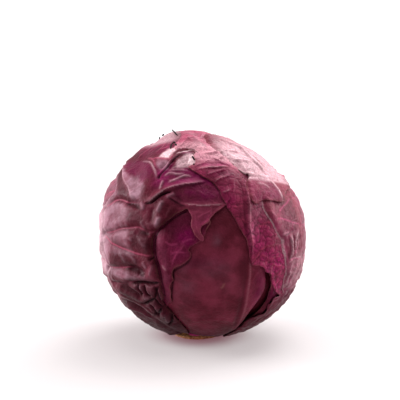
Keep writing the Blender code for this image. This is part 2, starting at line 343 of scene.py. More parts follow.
class Sheet:
    """The flat pattern of a leaf, and what is being made of it: heights in mm and colour marks."""

    def __init__(self, name, spec):
        step = spec.get("step", MESH_STEP)
        self.name = name
        self.fineness = MESH_STEP / step
        self.facing = spec["facing"]
        edge = ragged_edge(spec["outline"], spec["tear"], step)
        inner = inner_points(edge, step)
        points = [Vector(p) for p in np.vstack([edge, inner])]
        rim = [(k, (k + 1) % len(edge)) for k in range(len(edge))]
        flat, _, faces, _, _, _ = delaunay_2d_cdt(points, rim, [], 1, 1e-6)
        flat = np.array(flat)
        self.faces = facing_out(flat, np.array(faces))
        self.right, self.up = flat[:, 0], flat[:, 1]
        self.vectors = directions(self.right, self.up, self.facing)
        self.points = self.vectors * HEAD_RADIUS / MM
        self.rim = outer_loop(self.faces)
        self.edge_gap = distance_to(flat, flat[self.rim]) * DEGREE
        self.height = np.zeros(len(flat))
        self.rim_wear = 1.0      # how browned the edge is
        self.tuck = np.zeros(len(flat))
        self.marks = {mark: np.zeros(len(flat)) for mark in MARKS}

    def within(self, low_right, high_right, low_up, high_up, soft=4.0):
        """1 inside a block of the sheet, with soft borders."""
        sideways = (between(self.right, low_right - soft, low_right + soft)
                    * between(-self.right, -high_right - soft, soft - high_right))
        return (sideways * between(self.up, low_up - soft, low_up + soft)
                * between(-self.up, -high_up - soft, soft - high_up))

    def smooth(self, values, rounds):
        """Spreads values over the sheet, by about the root of the rounds in plain mesh steps."""
        a, b = neighbours(self.faces)
        count = np.bincount(a, minlength=len(values))
        for _ in range(round(rounds * self.fineness ** 2)):
            values = (values + np.bincount(a, values[b], minlength=len(values))) / (count + 1)
        return values

    def widest(self, values, rounds):
        """Each round, every point takes the greatest value of its neighbours."""
        a, b = neighbours(self.faces)
        for _ in range(round(rounds * self.fineness)):
            spread = values.copy()
            np.maximum.at(spread, a, values[b])
            values = spread
        return values

    def along(self, points, ends=0.25):
        """Distance in mm from a line through points, which side of it, and its fade at both ends."""
        line = spline(points)
        gap = np.full(len(self.right), 1e9)
        side = np.zeros(len(self.right))
        way = np.zeros(len(self.right))
        lengths = np.hypot(*(line[1:] - line[:-1]).T)
        travelled = np.concatenate([[0], np.cumsum(lengths)]) / lengths.sum()
        low, high = line.min(axis=0) - LINE_REACH, line.max(axis=0) + LINE_REACH
        near = ((self.right > low[0]) & (self.right < high[0]) & (self.up > low[1]) & (self.up < high[1]))
        x, y = self.right[near], self.up[near]
        best, which, where = gap[near], side[near], way[near]
        for k, (a, b) in enumerate(zip(line, line[1:])):
            d = b - a
            t = np.clip(((x - a[0]) * d[0] + (y - a[1]) * d[1]) / max(d @ d, 1e-9), 0, 1)
            dx, dy = x - a[0] - t * d[0], y - a[1] - t * d[1]
            gaps = np.hypot(dx, dy)
            closer = gaps < best
            best = np.where(closer, gaps, best)
            which = np.where(closer, np.sign(d[0] * dy - d[1] * dx), which)
            where = np.where(closer, travelled[k] + t * (travelled[k + 1] - travelled[k]), where)
        gap[near], side[near], way[near] = best * DEGREE, which, where
        return gap, side, between(np.minimum(way, 1 - way), 0, ends)

    def mark(self, name, amount):
        """Raises a colour mark to at least some amount."""
        self.marks[name] = np.maximum(self.marks[name], amount)

    def ridge(self, points, width, height, mark=None, strength=1.0, mark_width=None, ends=0.25):
        """A rounded ridge, or a groove if height is negative, which fades at its ends."""
        gap, _, fade = self.along(points, ends)
        self.height += height * fade * np.exp(-(gap / width) ** 2)
        if mark:
            self.mark(mark, strength * fade * np.exp(-(gap / (mark_width or width)) ** 2))

    def crest(self, points, height, width, mark=None, strength=1.0, mark_width=0.9, ends=0.25):
        """A fold's sharp crest with hollow sides."""
        gap, _, fade = self.along(points, ends)
        self.height += height * fade * np.clip(1 - gap / width, 0, 1) ** 2
        if mark:
            self.mark(mark, strength * fade * np.exp(-(gap / mark_width) ** 2))

    def crease(self, points, depth, width, mark=None, strength=1.0, ends=0.25):
        """A sharp valley between two swollen sides."""
        self.crest(points, -depth, width, mark, strength, 0.6, ends)

    def overlap(self, points, rise, reach, drop=0.5, mark=None, strength=1.0, ends=0.25):
        """The surface rises to the line from its left, then falls off sharply on its right."""
        gap, side, fade = self.along(points, ends)
        left = np.clip(1 - gap / reach, 0, 1) ** 1.5
        right = np.exp(-(gap / drop) ** 2)
        self.height += rise * fade * np.where(side > 0, left, right)
        if mark:
            self.mark(mark, strength * fade * np.exp(-(gap / 0.7) ** 2) * (side > 0))

    def patch(self, outline, mark, strength=1.0, soft=1.2):
        """A coloured patch inside an outline, with a border soft by some millimetres."""
        gap, _, _ = self.along(outline + outline[:1])
        inside = np.where(is_inside(self.right, self.up, outline), gap, -gap)
        inside += 0.6 * soft * (noise(self.points, 5, 40) + 0.6 * noise(self.points, 2, 41))
        self.mark(mark, strength * between(inside, -soft, soft))

    def spot(self, right, up, wide, tall, power=2.0):
        """1 in the middle of an oval, fading to 0 outside it."""
        away = ((self.right - right) / wide) ** 2 + ((self.up - up) / tall) ** 2
        return np.exp(-away ** (power / 2))

    def tint(self, mark, *spots):
        """Soft oval spots of a colour mark: right, up, half width, half height and strength."""
        for *oval, strength in spots:
            self.mark(mark, strength * self.spot(*oval))


def ragged_edge(outline, tear, step):
    """The outline as a smooth closed line with even steps, roughened by a tear in degrees."""
    line = spline(outline, 12, closed=True)
    ring = np.vstack([line, line[:1]])
    travelled = np.concatenate([[0], np.cumsum(np.hypot(*(ring[1:] - ring[:-1]).T))])
    count = int(travelled[-1] / step)
    stops = np.linspace(0, travelled[-1], count, endpoint=False)
    edge = np.stack([np.interp(stops, travelled, ring[:, k]) for k in (0, 1)], axis=1)
    across = np.roll(edge, -1, axis=0) - np.roll(edge, 1, axis=0)
    across = np.stack([across[:, 1], -across[:, 0]], axis=1)
    across /= np.hypot(*across.T)[:, None]
    spot = np.column_stack([edge, np.zeros(count)])
    wobble = noise(spot, 3.5, 1) + 0.6 * noise(spot, 1.4, 2)
    return edge + across * (tear * wobble)[:, None]


def inner_points(edge, step):
    """A triangular grid of places inside an edge, clear of it."""
    low, high = edge.min(axis=0), edge.max(axis=0)
    row_step = step * math.sqrt(3) / 2
    rows = np.arange(low[1], high[1], row_step)
    columns = np.arange(low[0], high[0], step)
    right, up = np.meshgrid(columns, rows)
    right = right + (np.arange(len(rows)) % 2 * step / 2)[:, None]
    right, up = right.ravel(), up.ravel()
    inside = is_inside(right, up, edge)
    grid = np.stack([right[inside], up[inside]], axis=1)
    return grid[distance_to(grid, edge) > 0.6 * step]


def distance_to(points, others):
    """Distance from each 2-D point to the nearest of the others."""
    finder = KDTree(len(others))
    for k, other in enumerate(others):
        finder.insert((other[0], other[1], 0), k)
    finder.balance()
    return np.array([finder.find((p[0], p[1], 0))[2] for p in points])


def facing_out(flat, faces):
    """Faces turned so that they run anticlockwise in the flat pattern, which is outwards."""
    a, b, c = flat[faces[:, 0]], flat[faces[:, 1]], flat[faces[:, 2]]
    area = (b[:, 0] - a[:, 0]) * (c[:, 1] - a[:, 1]) - (b[:, 1] - a[:, 1]) * (c[:, 0] - a[:, 0])
    return np.where(area[:, None] < 0, faces[:, ::-1], faces)


def outer_loop(faces):
    """The mesh points along a sheet's edge, in order."""
    sides = np.vstack([faces[:, [0, 1]], faces[:, [1, 2]], faces[:, [2, 0]]])
    known = {(a, b) for a, b in sides}
    following = {a: b for a, b in known if (b, a) not in known}
    start = min(following)
    loop = [start]
    while following[loop[-1]] != start:
        loop.append(following[loop[-1]])
    return np.array(loop)


def neighbours(faces):
    """Both ends of every side of every face, each way round."""
    a = faces[:, [0, 1, 1, 2, 2, 0]].ravel()
    b = faces[:, [1, 0, 2, 1, 0, 2]].ravel()
    return a, b


# ---------------------------------------------------------------- laying the leaves

class Stack:
    """The leaves laid so far. Each new one lies on whatever is beneath it."""
    BRIDGING = 30           # rounds of smoothing where a blade spans the hollows under it
    CLINGING = 5.0          # mm from its edge, within which a blade follows what is beneath
    THIN_EDGE = 0.55        # share of the blade's thickness that is gone at its edge

    def __init__(self, head):
        self.head = head
        self.trees = []

    def lay(self, sheet):
        """Radii in metres of the leaf's outer and inner faces."""
        ball = self.head.radius(sheet.vectors)
        floor = outer_radius(self.trees, sheet.vectors) + AIR * MM
        rest = np.maximum(ball, floor)
        bridged = np.maximum(sheet.smooth(sheet.widest(rest, 2), self.BRIDGING), rest)
        rest += (bridged - rest) * (1 - np.exp(-(sheet.edge_gap / self.CLINGING) ** 2))
        inner = np.maximum(rest + sheet.height * MM, floor)
        blade = THICKNESS * (1 - self.THIN_EDGE * np.exp(-sheet.edge_gap / 1.2))
        inner = inner - sheet.tuck * MM
        return inner + blade * MM, inner

    def add(self, vertices, triangles):
        """Adds a surface for the next leaves to lie on."""
        self.trees.append(tree_of(vertices, triangles))


def build_mesh(name, vertices, triangles, marks):
    """A smooth-shaded mesh that carries each colour mark as a point attribute."""
    mesh = bpy.data.meshes.new(name)
    mesh.vertices.add(len(vertices))
    mesh.vertices.foreach_set("co", vertices.ravel())
    mesh.loops.add(triangles.size)
    mesh.loops.foreach_set("vertex_index", triangles.ravel())
    mesh.polygons.add(len(triangles))
    mesh.polygons.foreach_set("loop_start", np.arange(0, triangles.size, 3))
    mesh.update(calc_edges=True)
    mesh.validate()
    for mark, values in marks.items():
        layer = mesh.attributes.new(mark, "FLOAT", "POINT")
        layer.data.foreach_set("value", values.astype(np.float32))
    mesh.shade_smooth()
    return mesh


BOX_SLACK = 1.0 * MM     # how far leaves may stand out of the CAD box, at the sides and on top
BOX_NEAR = 0.965         # share of the box's half width where pressing begins


def pressed_in(points):
    """Points near the CAD box's sides or past them, pressed softly back."""
    low = np.array(CAD_LOW) - BOX_SLACK * np.array([1, 1, 0])
    high = np.array(CAD_HIGH) + BOX_SLACK
    middle, half = (low + high) / 2, (high - low) / 2
    away = (points - middle) / half
    past = np.clip(np.abs(away) - BOX_NEAR, 0, None) / (1 - BOX_NEAR)
    kept = np.minimum(np.abs(away), BOX_NEAR) + (1 - BOX_NEAR) * np.tanh(past)
    return middle + np.sign(away) * kept * half


def trial_stack(head):
    """All the leaves laid roughly."""
    stack = Stack(head)
    for name, spec in LEAVES.items():
        sheet = Sheet(name, dict(spec, step=TRIAL_STEP))
        SHAPES[name](sheet)
        outer, _ = stack.lay(sheet)
        stack.add(CENTRE + sheet.vectors * outer[:, None], sheet.faces)
    return stack


def shade_by_shape(sheet):
    """Paints shade into the hollows and over the underside, paints a light sheen on the swellings and browns
    the rim.
    """
    # painted shade: darker on the underside, toward the stem
    sheet.mark("dark", 0.75 * between(-sheet.vectors[:, 2], 0.72, 0.93))
    # from the heights: painted shade in the hollows, and a painted sheen on the swellings
    hollow = (sheet.smooth(sheet.height, 14) - sheet.height) * between(sheet.edge_gap, 0.5, 5.0)
    added = {"dark": 0.55 * np.clip(hollow, 0, 1), "bloom_and_sheen": 0.12 * np.clip(-hollow / 0.8, 0, 1)}
    for mark, amount in added.items():
        sheet.marks[mark] = np.clip(sheet.marks[mark] + amount, 0, 1)
    worn = sheet.rim_wear * (0.45 + 0.55 * noise(sheet.points, 6, 15))
    sheet.mark("rim", worn * np.exp(-(sheet.edge_gap / 0.5) ** 2))


def add_piece(name, mesh, material):
    """Puts a finished mesh into the scene."""
    mesh.materials.append(material)
    piece = bpy.data.objects.new(name, mesh)
    bpy.context.scene.collection.objects.link(piece)
    return piece


def make_leaf(sheet, stack, material):
    """The leaf as a closed blade with an outer face, an inner face and a rim between them."""
    outer, inner = stack.lay(sheet)
    count = len(outer)
    top = pressed_in(CENTRE + sheet.vectors * outer[:, None])
    bottom = pressed_in(CENTRE + sheet.vectors * inner[:, None])
    ring, following = sheet.rim, np.roll(sheet.rim, -1)
    strip = np.vstack([np.stack([ring, ring + count, following], axis=1),
                       np.stack([following, ring + count, following + count], axis=1)])
    triangles = np.vstack([sheet.faces, sheet.faces[:, ::-1] + count, strip])
    shade_by_shape(sheet)
    marks = {mark: np.concatenate([values, values]) for mark, values in sheet.marks.items()}
    stack.add(top, sheet.faces)
    mesh = build_mesh(sheet.name, np.vstack([top, bottom]), triangles, marks)
    return add_piece(sheet.name + "_blade", mesh, material)


# ---------------------------------------------------------------- what leaf shapes are made of

def broad_waves(sheet, size, amount, seed):
    """Gentle unevenness all over."""
    sheet.height += amount * (0.5 + 0.5 * noise(sheet.points, size, seed))


def round_edge(sheet, height, reach):
    """How much of a height is left near the edge, where the blade rolls down to nothing."""
    t = np.clip(sheet.edge_gap / reach, 0, 1)
    return height * np.sqrt(1 - (1 - t) ** 2)


def lifted_edge(sheet, height, reach, where=1.0):
    """The edge stands off what lies beneath."""
    sheet.height += where * height * np.exp(-(sheet.edge_gap / reach) ** 2)


def tucked_edge(sheet, where, depth=1.3, reach=3.0):
    """The edge is drawn into the leaf beneath, so that the two run on as one surface."""
    sheet.tuck = np.maximum(sheet.tuck, where * depth * np.exp(-(sheet.edge_gap / reach) ** 2))


def vein(sheet, points, width=0.6, height=0.35, valley=0.0, valley_width=5.0, strength=0.8):
    """A vein: a fine ridge, if wanted at the foot of a sharp valley between puffed cells."""
    if valley:
        sheet.crease(points, valley, valley_width, ends=0.12)
    sheet.ridge(points, width, height, "rib", strength, 0.6)


def net_of_veins(sheet, size, puff, strength, where=1.0, seed=3, mark="rib"):
    """Small veins in a net, with the blade puffed up a little in each cell."""
    wander = 0.22 * size * noise(sheet.points, 0.9 * size, seed)
    sway = 0.22 * size * noise(sheet.points, 0.9 * size, seed + 1)
    for part, (scale, share) in enumerate(((1.0, 1.0), (0.52, 0.5))):
        wall = wall_distance(sheet.right + wander, sheet.up + sway, size * scale, seed + part)
        sheet.height += where * share * puff * (1 - np.exp(-wall / (0.2 * size * scale)))
        sheet.mark(mark, share * strength * where * np.exp(-(wall / 0.38) ** 2))


def crumple(sheet, across, along, amount, seed, where=1.0, tilt=0.0):
    """Creased ridges, longer along than across, tilted from level by some degrees."""
    c, s = math.cos(math.radians(tilt)), math.sin(math.radians(tilt))
    level = (sheet.right * c + sheet.up * s) * DEGREE
    steep = (sheet.up * c - sheet.right * s) * DEGREE
    steep = steep + 0.35 * across * noise(sheet.points, 2 * across, seed + 5)
    flat = np.stack([level * across / along, steep, np.full(len(level), 5.0 * seed)], axis=1)
    ridged = 1 - 2.2 * np.abs(noise(flat, across, seed)) ** 0.8
    fine = 1 - 2.2 * np.abs(noise(flat, across * 0.45, seed + 9)) ** 0.8
    shape = 0.7 * ridged + 0.3 * fine
    sheet.height += where * amount * shape
    return shape


# ---------------------------------------------------------------- shapes of the leaves

# Lines and patches are (right, up) in degrees from where the leaf faces. Heights, depths and widths
# are in mm; strengths of colour marks run from 0 to 1.

FRONT_MIDRIB = [(18, -70), (21, -56), (22, -50), (23, -42), (24, -35), (24.5, -28), (25, -20),
                (25.5, -12), (25.5, -5), (26, 6), (25, 30)]


def shape_front_leaf(sheet):
    """Smooth, with a pale midrib right of its middle, a fine groove at the left painted near-black as the
    torn leaf's shadow, and a tan scar.
    """
    broad_waves(sheet, 26, 0.9, 4)
    right_side = between(sheet.right, 24, 32) * between(-sheet.up, -6, 6)
    sheet.height -= right_side * (3.4 - round_edge(sheet, 3.4, 8.5))
    sheet.ridge(FRONT_MIDRIB, 5.0, 0.5)
    sheet.crest(FRONT_MIDRIB, 0.7, 2.0, "rib", 0.4, 1.0)
    sheet.ridge(FRONT_MIDRIB, 1.0, 0.0, "pale", 0.22, 0.45)
    # a shallow groove along the torn leaf's edge, painted near-black as the shadow that edge casts
    sheet.ridge([(-6.3, 1), (-8, -3), (-11, -5.4), (-14, -7.3), (-15.8, -9), (-16.2, -13), (-16.8, -18),
                 (-17.4, -22), (-17.7, -25), (-18, -29)], 0.8, -0.3, "slit", 0.9, 0.75, 0.05)
    sheet.crease([(21, -60), (20, -50), (21, -38), (22.3, -28), (23, -16), (23.5, -6)], 0.7, 3.0)
    for line in ([(-18, -8), (-14, -11), (-8, -13), (-2, -14), (4, -18)],
                 [(-16, -28), (-12, -27.5), (-8, -30), (-2, -34)],
                 [(28, -13), (27, -20), (26, -27)], [(27, -16), (30, -11), (34, -9)],
                 [(26, -36), (30, -30), (34, -26)], [(23, -33), (12, -26), (0, -25), (-10, -24)],
                 [(24, -20), (14, -10), (4, -6), (-6, -5)], [(22, -47), (10, -42), (-4, -42), (-10, -44)],
                 [(24, 0), (14, 6), (4, 14)], [(21, -52), (14, -40), (12, -28), (13, -18)]):
        vein(sheet, line, 1.6, 0.2, strength=0.16)
    sheet.ridge([(9.5, -18.6), (10.4, -17.6), (11, -16.2), (11.8, -15)], 0.5, -0.2, "rim", 1.0, 0.65)
    sheet.ridge([(9.9, -18.2), (10.2, -17.2)], 0.8, -0.1, "rim", 0.8, 0.8)
    sheet.tint("bloom_and_sheen", (6, -7, 8, 5, 0.35), (7, 9, 2.5, 3, 0.5), (12, -16, 6, 6, 0.12),
               (-10, -16, 7, 14, 0.25))
    # painted shade: under the flap's tip, at the top under the leaves that hang over it, and in the groove
    # left of the midrib
    sheet.tint("dark", (-3, -3, 6, 4, 0.5), (10, 18, 14, 12, 0.5))
    sheet.mark("dark", 0.35 * sheet.within(19, 24, -60, 0, 2))
    sheet.tint("magenta", (-4, -3, 16, 5, 0.2), (33, -24, 5, 14, 0.5))


def shape_torn_inner_leaf(sheet):
    """Magenta toward its torn right edge."""
    broad_waves(sheet, 14, 0.6, 5)
    sheet.ridge([(-22, 14), (-23, 4), (-21, -6), (-20.3, -14), (-20, -24)], 3.5, 0.8)
    sheet.tint("magenta", (-9, 11, 5, 6, 1.0), (-13, 4, 5, 6, 0.45))
    # painted shade under the left leaf's edge
    sheet.patch([(-21, 14), (-15, 22), (-9, 25), (-6, 20), (-7, 16), (-12, 13), (-18, 9)], "dark", 0.6, 4)
    sheet.patch([(-27, 11), (-23.5, 13), (-21, 8), (-20, 0), (-19, -8), (-18.5, -24), (-21.5, -24),
                 (-24, -8), (-26.5, 0)], "bloom_and_sheen", 0.35, 3)
    lifted_edge(sheet, 0.5, 1.5)
    for line in ([(-18, 0.5), (-14.5, 2), (-11, 2.3), (-8, 1.5)], [(-9, 10), (-11, 5), (-15, -1), (-17, -7)],
                 [(-21, 8), (-17, 6), (-12, 7)], [(-12, 7), (-7, 9), (-4, 9)]):
        vein(sheet, line, 0.7, 0.35, strength=0.45)
    # painted highlight on a small fold
    sheet.ridge([(-22, -5.5), (-21, -7), (-19.8, -8.4)], 0.6, 0.4, "pale", 0.6, 0.45)
    net_of_veins(sheet, 7.0, 0.25, 0.14, seed=8)
    # painted near-black shadow along the left leaf's edge over it
    sheet.ridge([(-8, 24.7), (-13.3, 22), (-17.8, 19), (-22, 15.2), (-25, 12.8), (-26.6, 8), (-26.8, 2),
                 (-26.2, -1), (-24.7, -6), (-23.4, -11), (-22.7, -15), (-22, -20), (-21.5, -27)],
                0.8, -0.4, "slit", 1.0, 0.5, 0.03)


def shape_right_inner_leaf(sheet):
    """Deep in the gap on the right, with one fold along it."""
    sheet.height -= 1.8
    broad_waves(sheet, 9, 1.0, 6)
    sheet.crest([(42, -20), (43, -27), (41, -33), (39, -40), (34, -47)], 1.2, 3.0)
    # painted shade in the crease
    sheet.crease([(40.5, -22), (41.5, -28), (40, -34), (37, -40)], 1.4, 2.0, "dark", 0.8)
    crumple(sheet, 5, 20, 0.5, 3, tilt=60)
    sheet.tint("magenta", (44, -27, 5, 8, 0.9))
    # painted shade, darker toward the bottom, deep in the gap
    sheet.mark("dark", 0.55 * between(-sheet.up, 24, 34))


LEFT_VEINS = [
    [(-76, 22), (-70, 24.5), (-65, 26), (-62, 27), (-58, 29), (-54, 30), (-50, 29.3), (-46, 28.5),
     (-42, 28.6), (-38, 28.5), (-35, 29)],
    [(-74, 5), (-68, 7), (-63, 8), (-58, 9.5), (-54, 11), (-50, 12.3), (-45, 13), (-40, 14), (-37, 14),
     (-34, 13), (-31, 12), (-28, 12), (-25, 13.5), (-22, 15)],
    [(-74, 6), (-66, 4), (-60, 2), (-55, 1.3), (-50, 0.5), (-46, 0), (-42, -0.5), (-38, -1), (-34, -1),
     (-30, -1), (-25, 0)],
    [(-68, -18), (-62, -16), (-57, -14.5), (-52, -13), (-47, -11.5), (-43, -10.5), (-38, -10),
     (-34, -10.5), (-29, -11)],
    [(-64, -30), (-58, -27), (-53, -25), (-48, -23.5), (-44, -21), (-40, -19.5), (-35, -18.5),
     (-30, -17.8), (-27, -17), (-24, -15.5), (-21, -14)],
]
VALLEYS = (2.2, 2.8, 1.4, 2.4, 2.9)      # mm, how deep each vein lies
LEFT_MIDRIB = [(-63, 62), (-69, 50), (-70, 36), (-74, 24), (-71, 12), (-73, 3), (-72, -8), (-66, -14),
               (-63, -18), (-66, -26), (-60, -35), (-53, -36), (-47, -36.5), (-41, -37), (-35, -38),
               (-28, -43), (-21, -52), (-16, -64)]
# creases among the crumpled folds low on the left leaf, painted near-black inside as shade
LEFT_CREASES = [
    [(-29.5, -4), (-28, -2.5), (-25.5, -0.5)],
    [(-44, -21.5), (-36, -19), (-31, -18), (-26, -17), (-22, -15)],
    [(-27, -18), (-26, -22), (-27, -27)],
    [(-39, -36), (-34, -33), (-31, -30), (-27, -27), (-25, -30), (-23, -32), (-20, -30)],
    [(-32, -32), (-29, -34), (-28, -39), (-30, -43)],
    [(-23, -32), (-25, -36), (-27, -42)],
    [(-24, -17), (-25, -21), (-24, -26), (-24, -29)],
    [(-21, -18), (-21.5, -23), (-20.5, -29)],
    [(-17.3, -35), (-16, -38), (-14.5, -40.5), (-13, -42), (-13.5, -47)],
    [(-19, -36), (-18.5, -40), (-19, -45), (-22, -50)],
    [(-38, -19.5), (-38, -23), (-36, -25.5), (-37, -29)],
    [(-34, -19), (-33, -23), (-31, -25.5), (-28, -25)],
]
# crests of the puffed folds, lengthwise through the left leaf, each with a painted highlight
LEFT_CRESTS = [
    [(-46, -1.5), (-42, -3), (-39, -5), (-37.5, -8)],
    [(-52, -3), (-48, -5), (-45, -8)],
    [(-29, -12.5), (-28, -9), (-26.5, -5)],
    [(-34, -5), (-32, -7), (-31, -9)],
    [(-57, -17), (-52, -18), (-47, -18), (-42, -16.5)],
    [(-40, -14.5), (-35, -15), (-31, -14)],
    [(-40, -20.5), (-38, -22), (-36.5, -21.5), (-34.5, -23.5)],
    [(-24, -19), (-24.2, -23), (-23, -28)],
    [(-34, -29), (-32, -27.5), (-29.5, -27)],
    [(-27, -32), (-25, -36), (-25, -40)], [(-23, -36), (-21, -40), (-20, -46)],
    [(-17, -39), (-16.5, -42), (-17, -46)],
    [(-49, 6), (-44, 7), (-39, 6)], [(-36, 8), (-33, 5), (-30, 4)],
]


def shape_left_outer_leaf(sheet):
    """Puffed between its veins on the left, folded over the upper front, torn where it hangs."""
    right, up = sheet.right, sheet.up
    flap = between(right, -21, -12) * between(41 - up, 0, 13)
    band = between(up, 28, 38) * between(right, -36, -26) * between(-up, -60, -48)
    body = (1 - flap) * (1 - 0.55 * band)
    sheet.height += round_edge(sheet, 1.7, 12.0) * between(up, 34, 56)
    reach = 5.0 + 11.0 * between(-right, 48, 60)
    sheet.height += round_edge(sheet, 3.9, reach) * body + 0.2
    broad_waves(sheet, 17, 0.7, 8)
    shape_left_veins(sheet)
    shape_left_puff(sheet)
    shape_left_band(sheet)
    shape_left_flap(sheet)
    low = between(-up, 16, 26) * between(-right, 12, 20)
    crumple(sheet, 6, 12, 0.35, 4, low, 50)
    crumple(sheet, 11, 16, 0.2, 14, body * (1 - low) * between(-up, -10, 12), 20)
    # painted near-black shade in the creases, painted highlights on the crests
    for line in LEFT_CREASES:
        sheet.crease(line, 2.8, 3.0, "slit", 0.95)
    for line in LEFT_CRESTS:
        sheet.ridge(line, 1.6, 0.6, "bloom_and_sheen", 0.3, 1.0)
    shade_left_leaf(sheet)
    tucked_edge(sheet, between(up, 30, 36) * between(-right, 16, 24), 1.9, 6.0)
    # painted shade along the edge where it lies over the torn leaf
    seam = sheet.within(-28, -12, -34, 26, 2) * (1 - flap)
    sheet.mark("dark", 0.6 * seam * np.exp(-(sheet.edge_gap / 1.2) ** 2))
    # painted sheen and highlight along the left limb, where light grazes it
    limb = between(-right, 56, 72) * (1 - 0.8 * between(-right, 80, 96))
    sheet.mark("bloom_and_sheen", limb * sheet.within(-110, -30, -26, 45, 8))
    sheet.mark("pale", 0.25 * limb * between(-right, 62, 74) * between(up, -40, -20))
    # painted shade, darker low on the left
    sheet.mark("dark", 0.7 * between(-up, 14, 30) * between(right, -62, -48))


def shade_left_leaf(sheet):
    """Wax dust and painted highlights on the tops of the puffs, and painted shade, deep maroon, in the
    hollows under the veins.
    """
    for outline, strength, soft in (
            ([(-43, 12), (-37, 12.3), (-30, 11.5), (-28, 4), (-30, 1), (-36, 1.5), (-42, 3)], 0.72, 3),
            ([(-45, 22), (-38, 24), (-33, 20), (-33, 15), (-40, 15.5), (-46, 17)], 0.54, 3),
            ([(-48, 27.3), (-42, 27.8), (-37, 26), (-35, 23), (-42, 25)], 0.72, 1),
            ([(-58, -4), (-46, -3), (-38, -4), (-36, -9), (-44, -11), (-58, -11)], 0.54, 4),
            ([(-45, -10.8), (-38, -10), (-33, -12.5), (-33, -14.3), (-40, -12.8), (-46, -12.2)], 0.96, 1),
            ([(-52, -25.5), (-44, -25), (-38, -26), (-36, -29), (-44, -28.8), (-54, -28.5)], 1, 1),
            ([(-52, -38), (-42, -38), (-33, -39), (-32, -43), (-42, -42.5), (-52, -42)], 1, 1),
            ([(-60, 52), (-56, 45), (-50, 37), (-45, 30.5), (-50, 30.5), (-55, 34), (-62, 44)], 0.6, 2),
            ([(-60, 58), (-52, 60), (-44, 58.5), (-37, 56), (-33, 50), (-34, 44), (-42, 44.5),
              (-50, 47.5), (-57, 52)], 0.36, 3),
            ([(-34, 26), (-30, 29), (-22, 34), (-20, 30), (-23, 22), (-27, 14), (-33, 15)], 0.42, 3),
            ([(-40, -14), (-30, -13), (-24, -16), (-24, -40), (-40, -38), (-46, -24)], 0.42, 4)):
        sheet.patch(outline, "dark", strength, soft)
    for outline, strength, soft in (
            ([(-72, 24), (-58, 28), (-50, 27), (-45, 23), (-46, 17), (-52, 13), (-68, 9)], 0.6, 4),
            ([(-64, 7), (-52, 11), (-45, 11.5), (-44, 4), (-46, 2), (-62, 3)], 0.45, 3),
            ([(-70, -1), (-54, 0.5), (-45, -1.5), (-52, -4), (-68, -6)], 0.5, 2),
            ([(-66, -14), (-52, -14), (-36, -14.5), (-36, -17.5), (-48, -18.5), (-62, -20)], 0.55, 2),
            ([(-50, 0.5), (-42, 0.5), (-38, -2.5), (-44, -3), (-50, -2)], 0.4, 2),
            ([(-56.5, 50), (-50, 46), (-42, 43), (-37, 38), (-36.5, 31), (-42, 29.5), (-48, 37),
              (-53, 44)], 0.8, 4),
            ([(-66, 45), (-60, 40), (-57, 33), (-66, 30)], 0.6, 3)):
        sheet.patch(outline, "bloom_and_sheen", strength, soft)
    sheet.patch([(-60, 58), (-52, 60), (-44, 58.5), (-37, 56), (-32, 50), (-32, 44), (-38, 40),
                 (-42, 44.5), (-50, 47.5), (-57, 52)], "magenta", 0.5, 3)


def shape_left_veins(sheet):
    """The midrib up the left side, and veins that leave it both ways in deep valleys."""
    sheet.crease(LEFT_MIDRIB, 1.8, 8.0, ends=0.02)
    # the midrib's paler skin, with a painted highlight along it
    sheet.ridge(LEFT_MIDRIB, 1.7, 2.0, "pale", 0.35, 0.9)
    for line in ([(-74, 24), (-84, 20), (-96, 16)], [(-73, 3), (-86, 4), (-104, 0)],
                 [(-66, -14), (-84, -16), (-108, -14)], [(-66, -26), (-84, -36), (-100, -38)],
                 [(-60, -35), (-72, -52), (-86, -62)], [(-52, -36), (-56, -56), (-60, -78)]):
        vein(sheet, line, 0.8, 0.5, 1.6, 6.0, 0.8)
    for line, depth in zip(LEFT_VEINS, VALLEYS):
        vein(sheet, line, 0.55, 0.45, depth, 6.0, 0.85)
    # grooves under the veins, with painted shade in them
    for line, depth, width in (([(-48, 27.5), (-43, 27), (-38, 25.5), (-36, 24)], 1.6, 1.8),
                               ([(-40, 12.3), (-36, 11), (-31, 10.3), (-28, 10.5)], 1.8, 1.8),
                               ([(-45, -11.3), (-40, -11.5), (-37, -12), (-34.5, -14)], 1.9, 2.0),
                               ([(-56, -27.5), (-48, -27), (-42, -26.7), (-38, -28), (-35, -30)], 2.2, 2.4),
                               ([(-44, -10.5), (-39, -10.8), (-35, -12.5), (-31, -14.5)], 1.6, 2.0),
                               ([(-50, -25.5), (-43, -26.5), (-38, -29), (-36, -32)], 2.0, 1.8),
                               ([(-54, -39.5), (-47, -38.5), (-40, -39.3), (-34, -41)], 3.2, 2.2)):
        sheet.ridge(line, 1.4 * width, -0.6 * depth, "dark", 0.45, 1.2 * width)
    sheet.crest([(-54, -44), (-46, -43), (-38, -43), (-30, -46)], 1.2, 3.0)


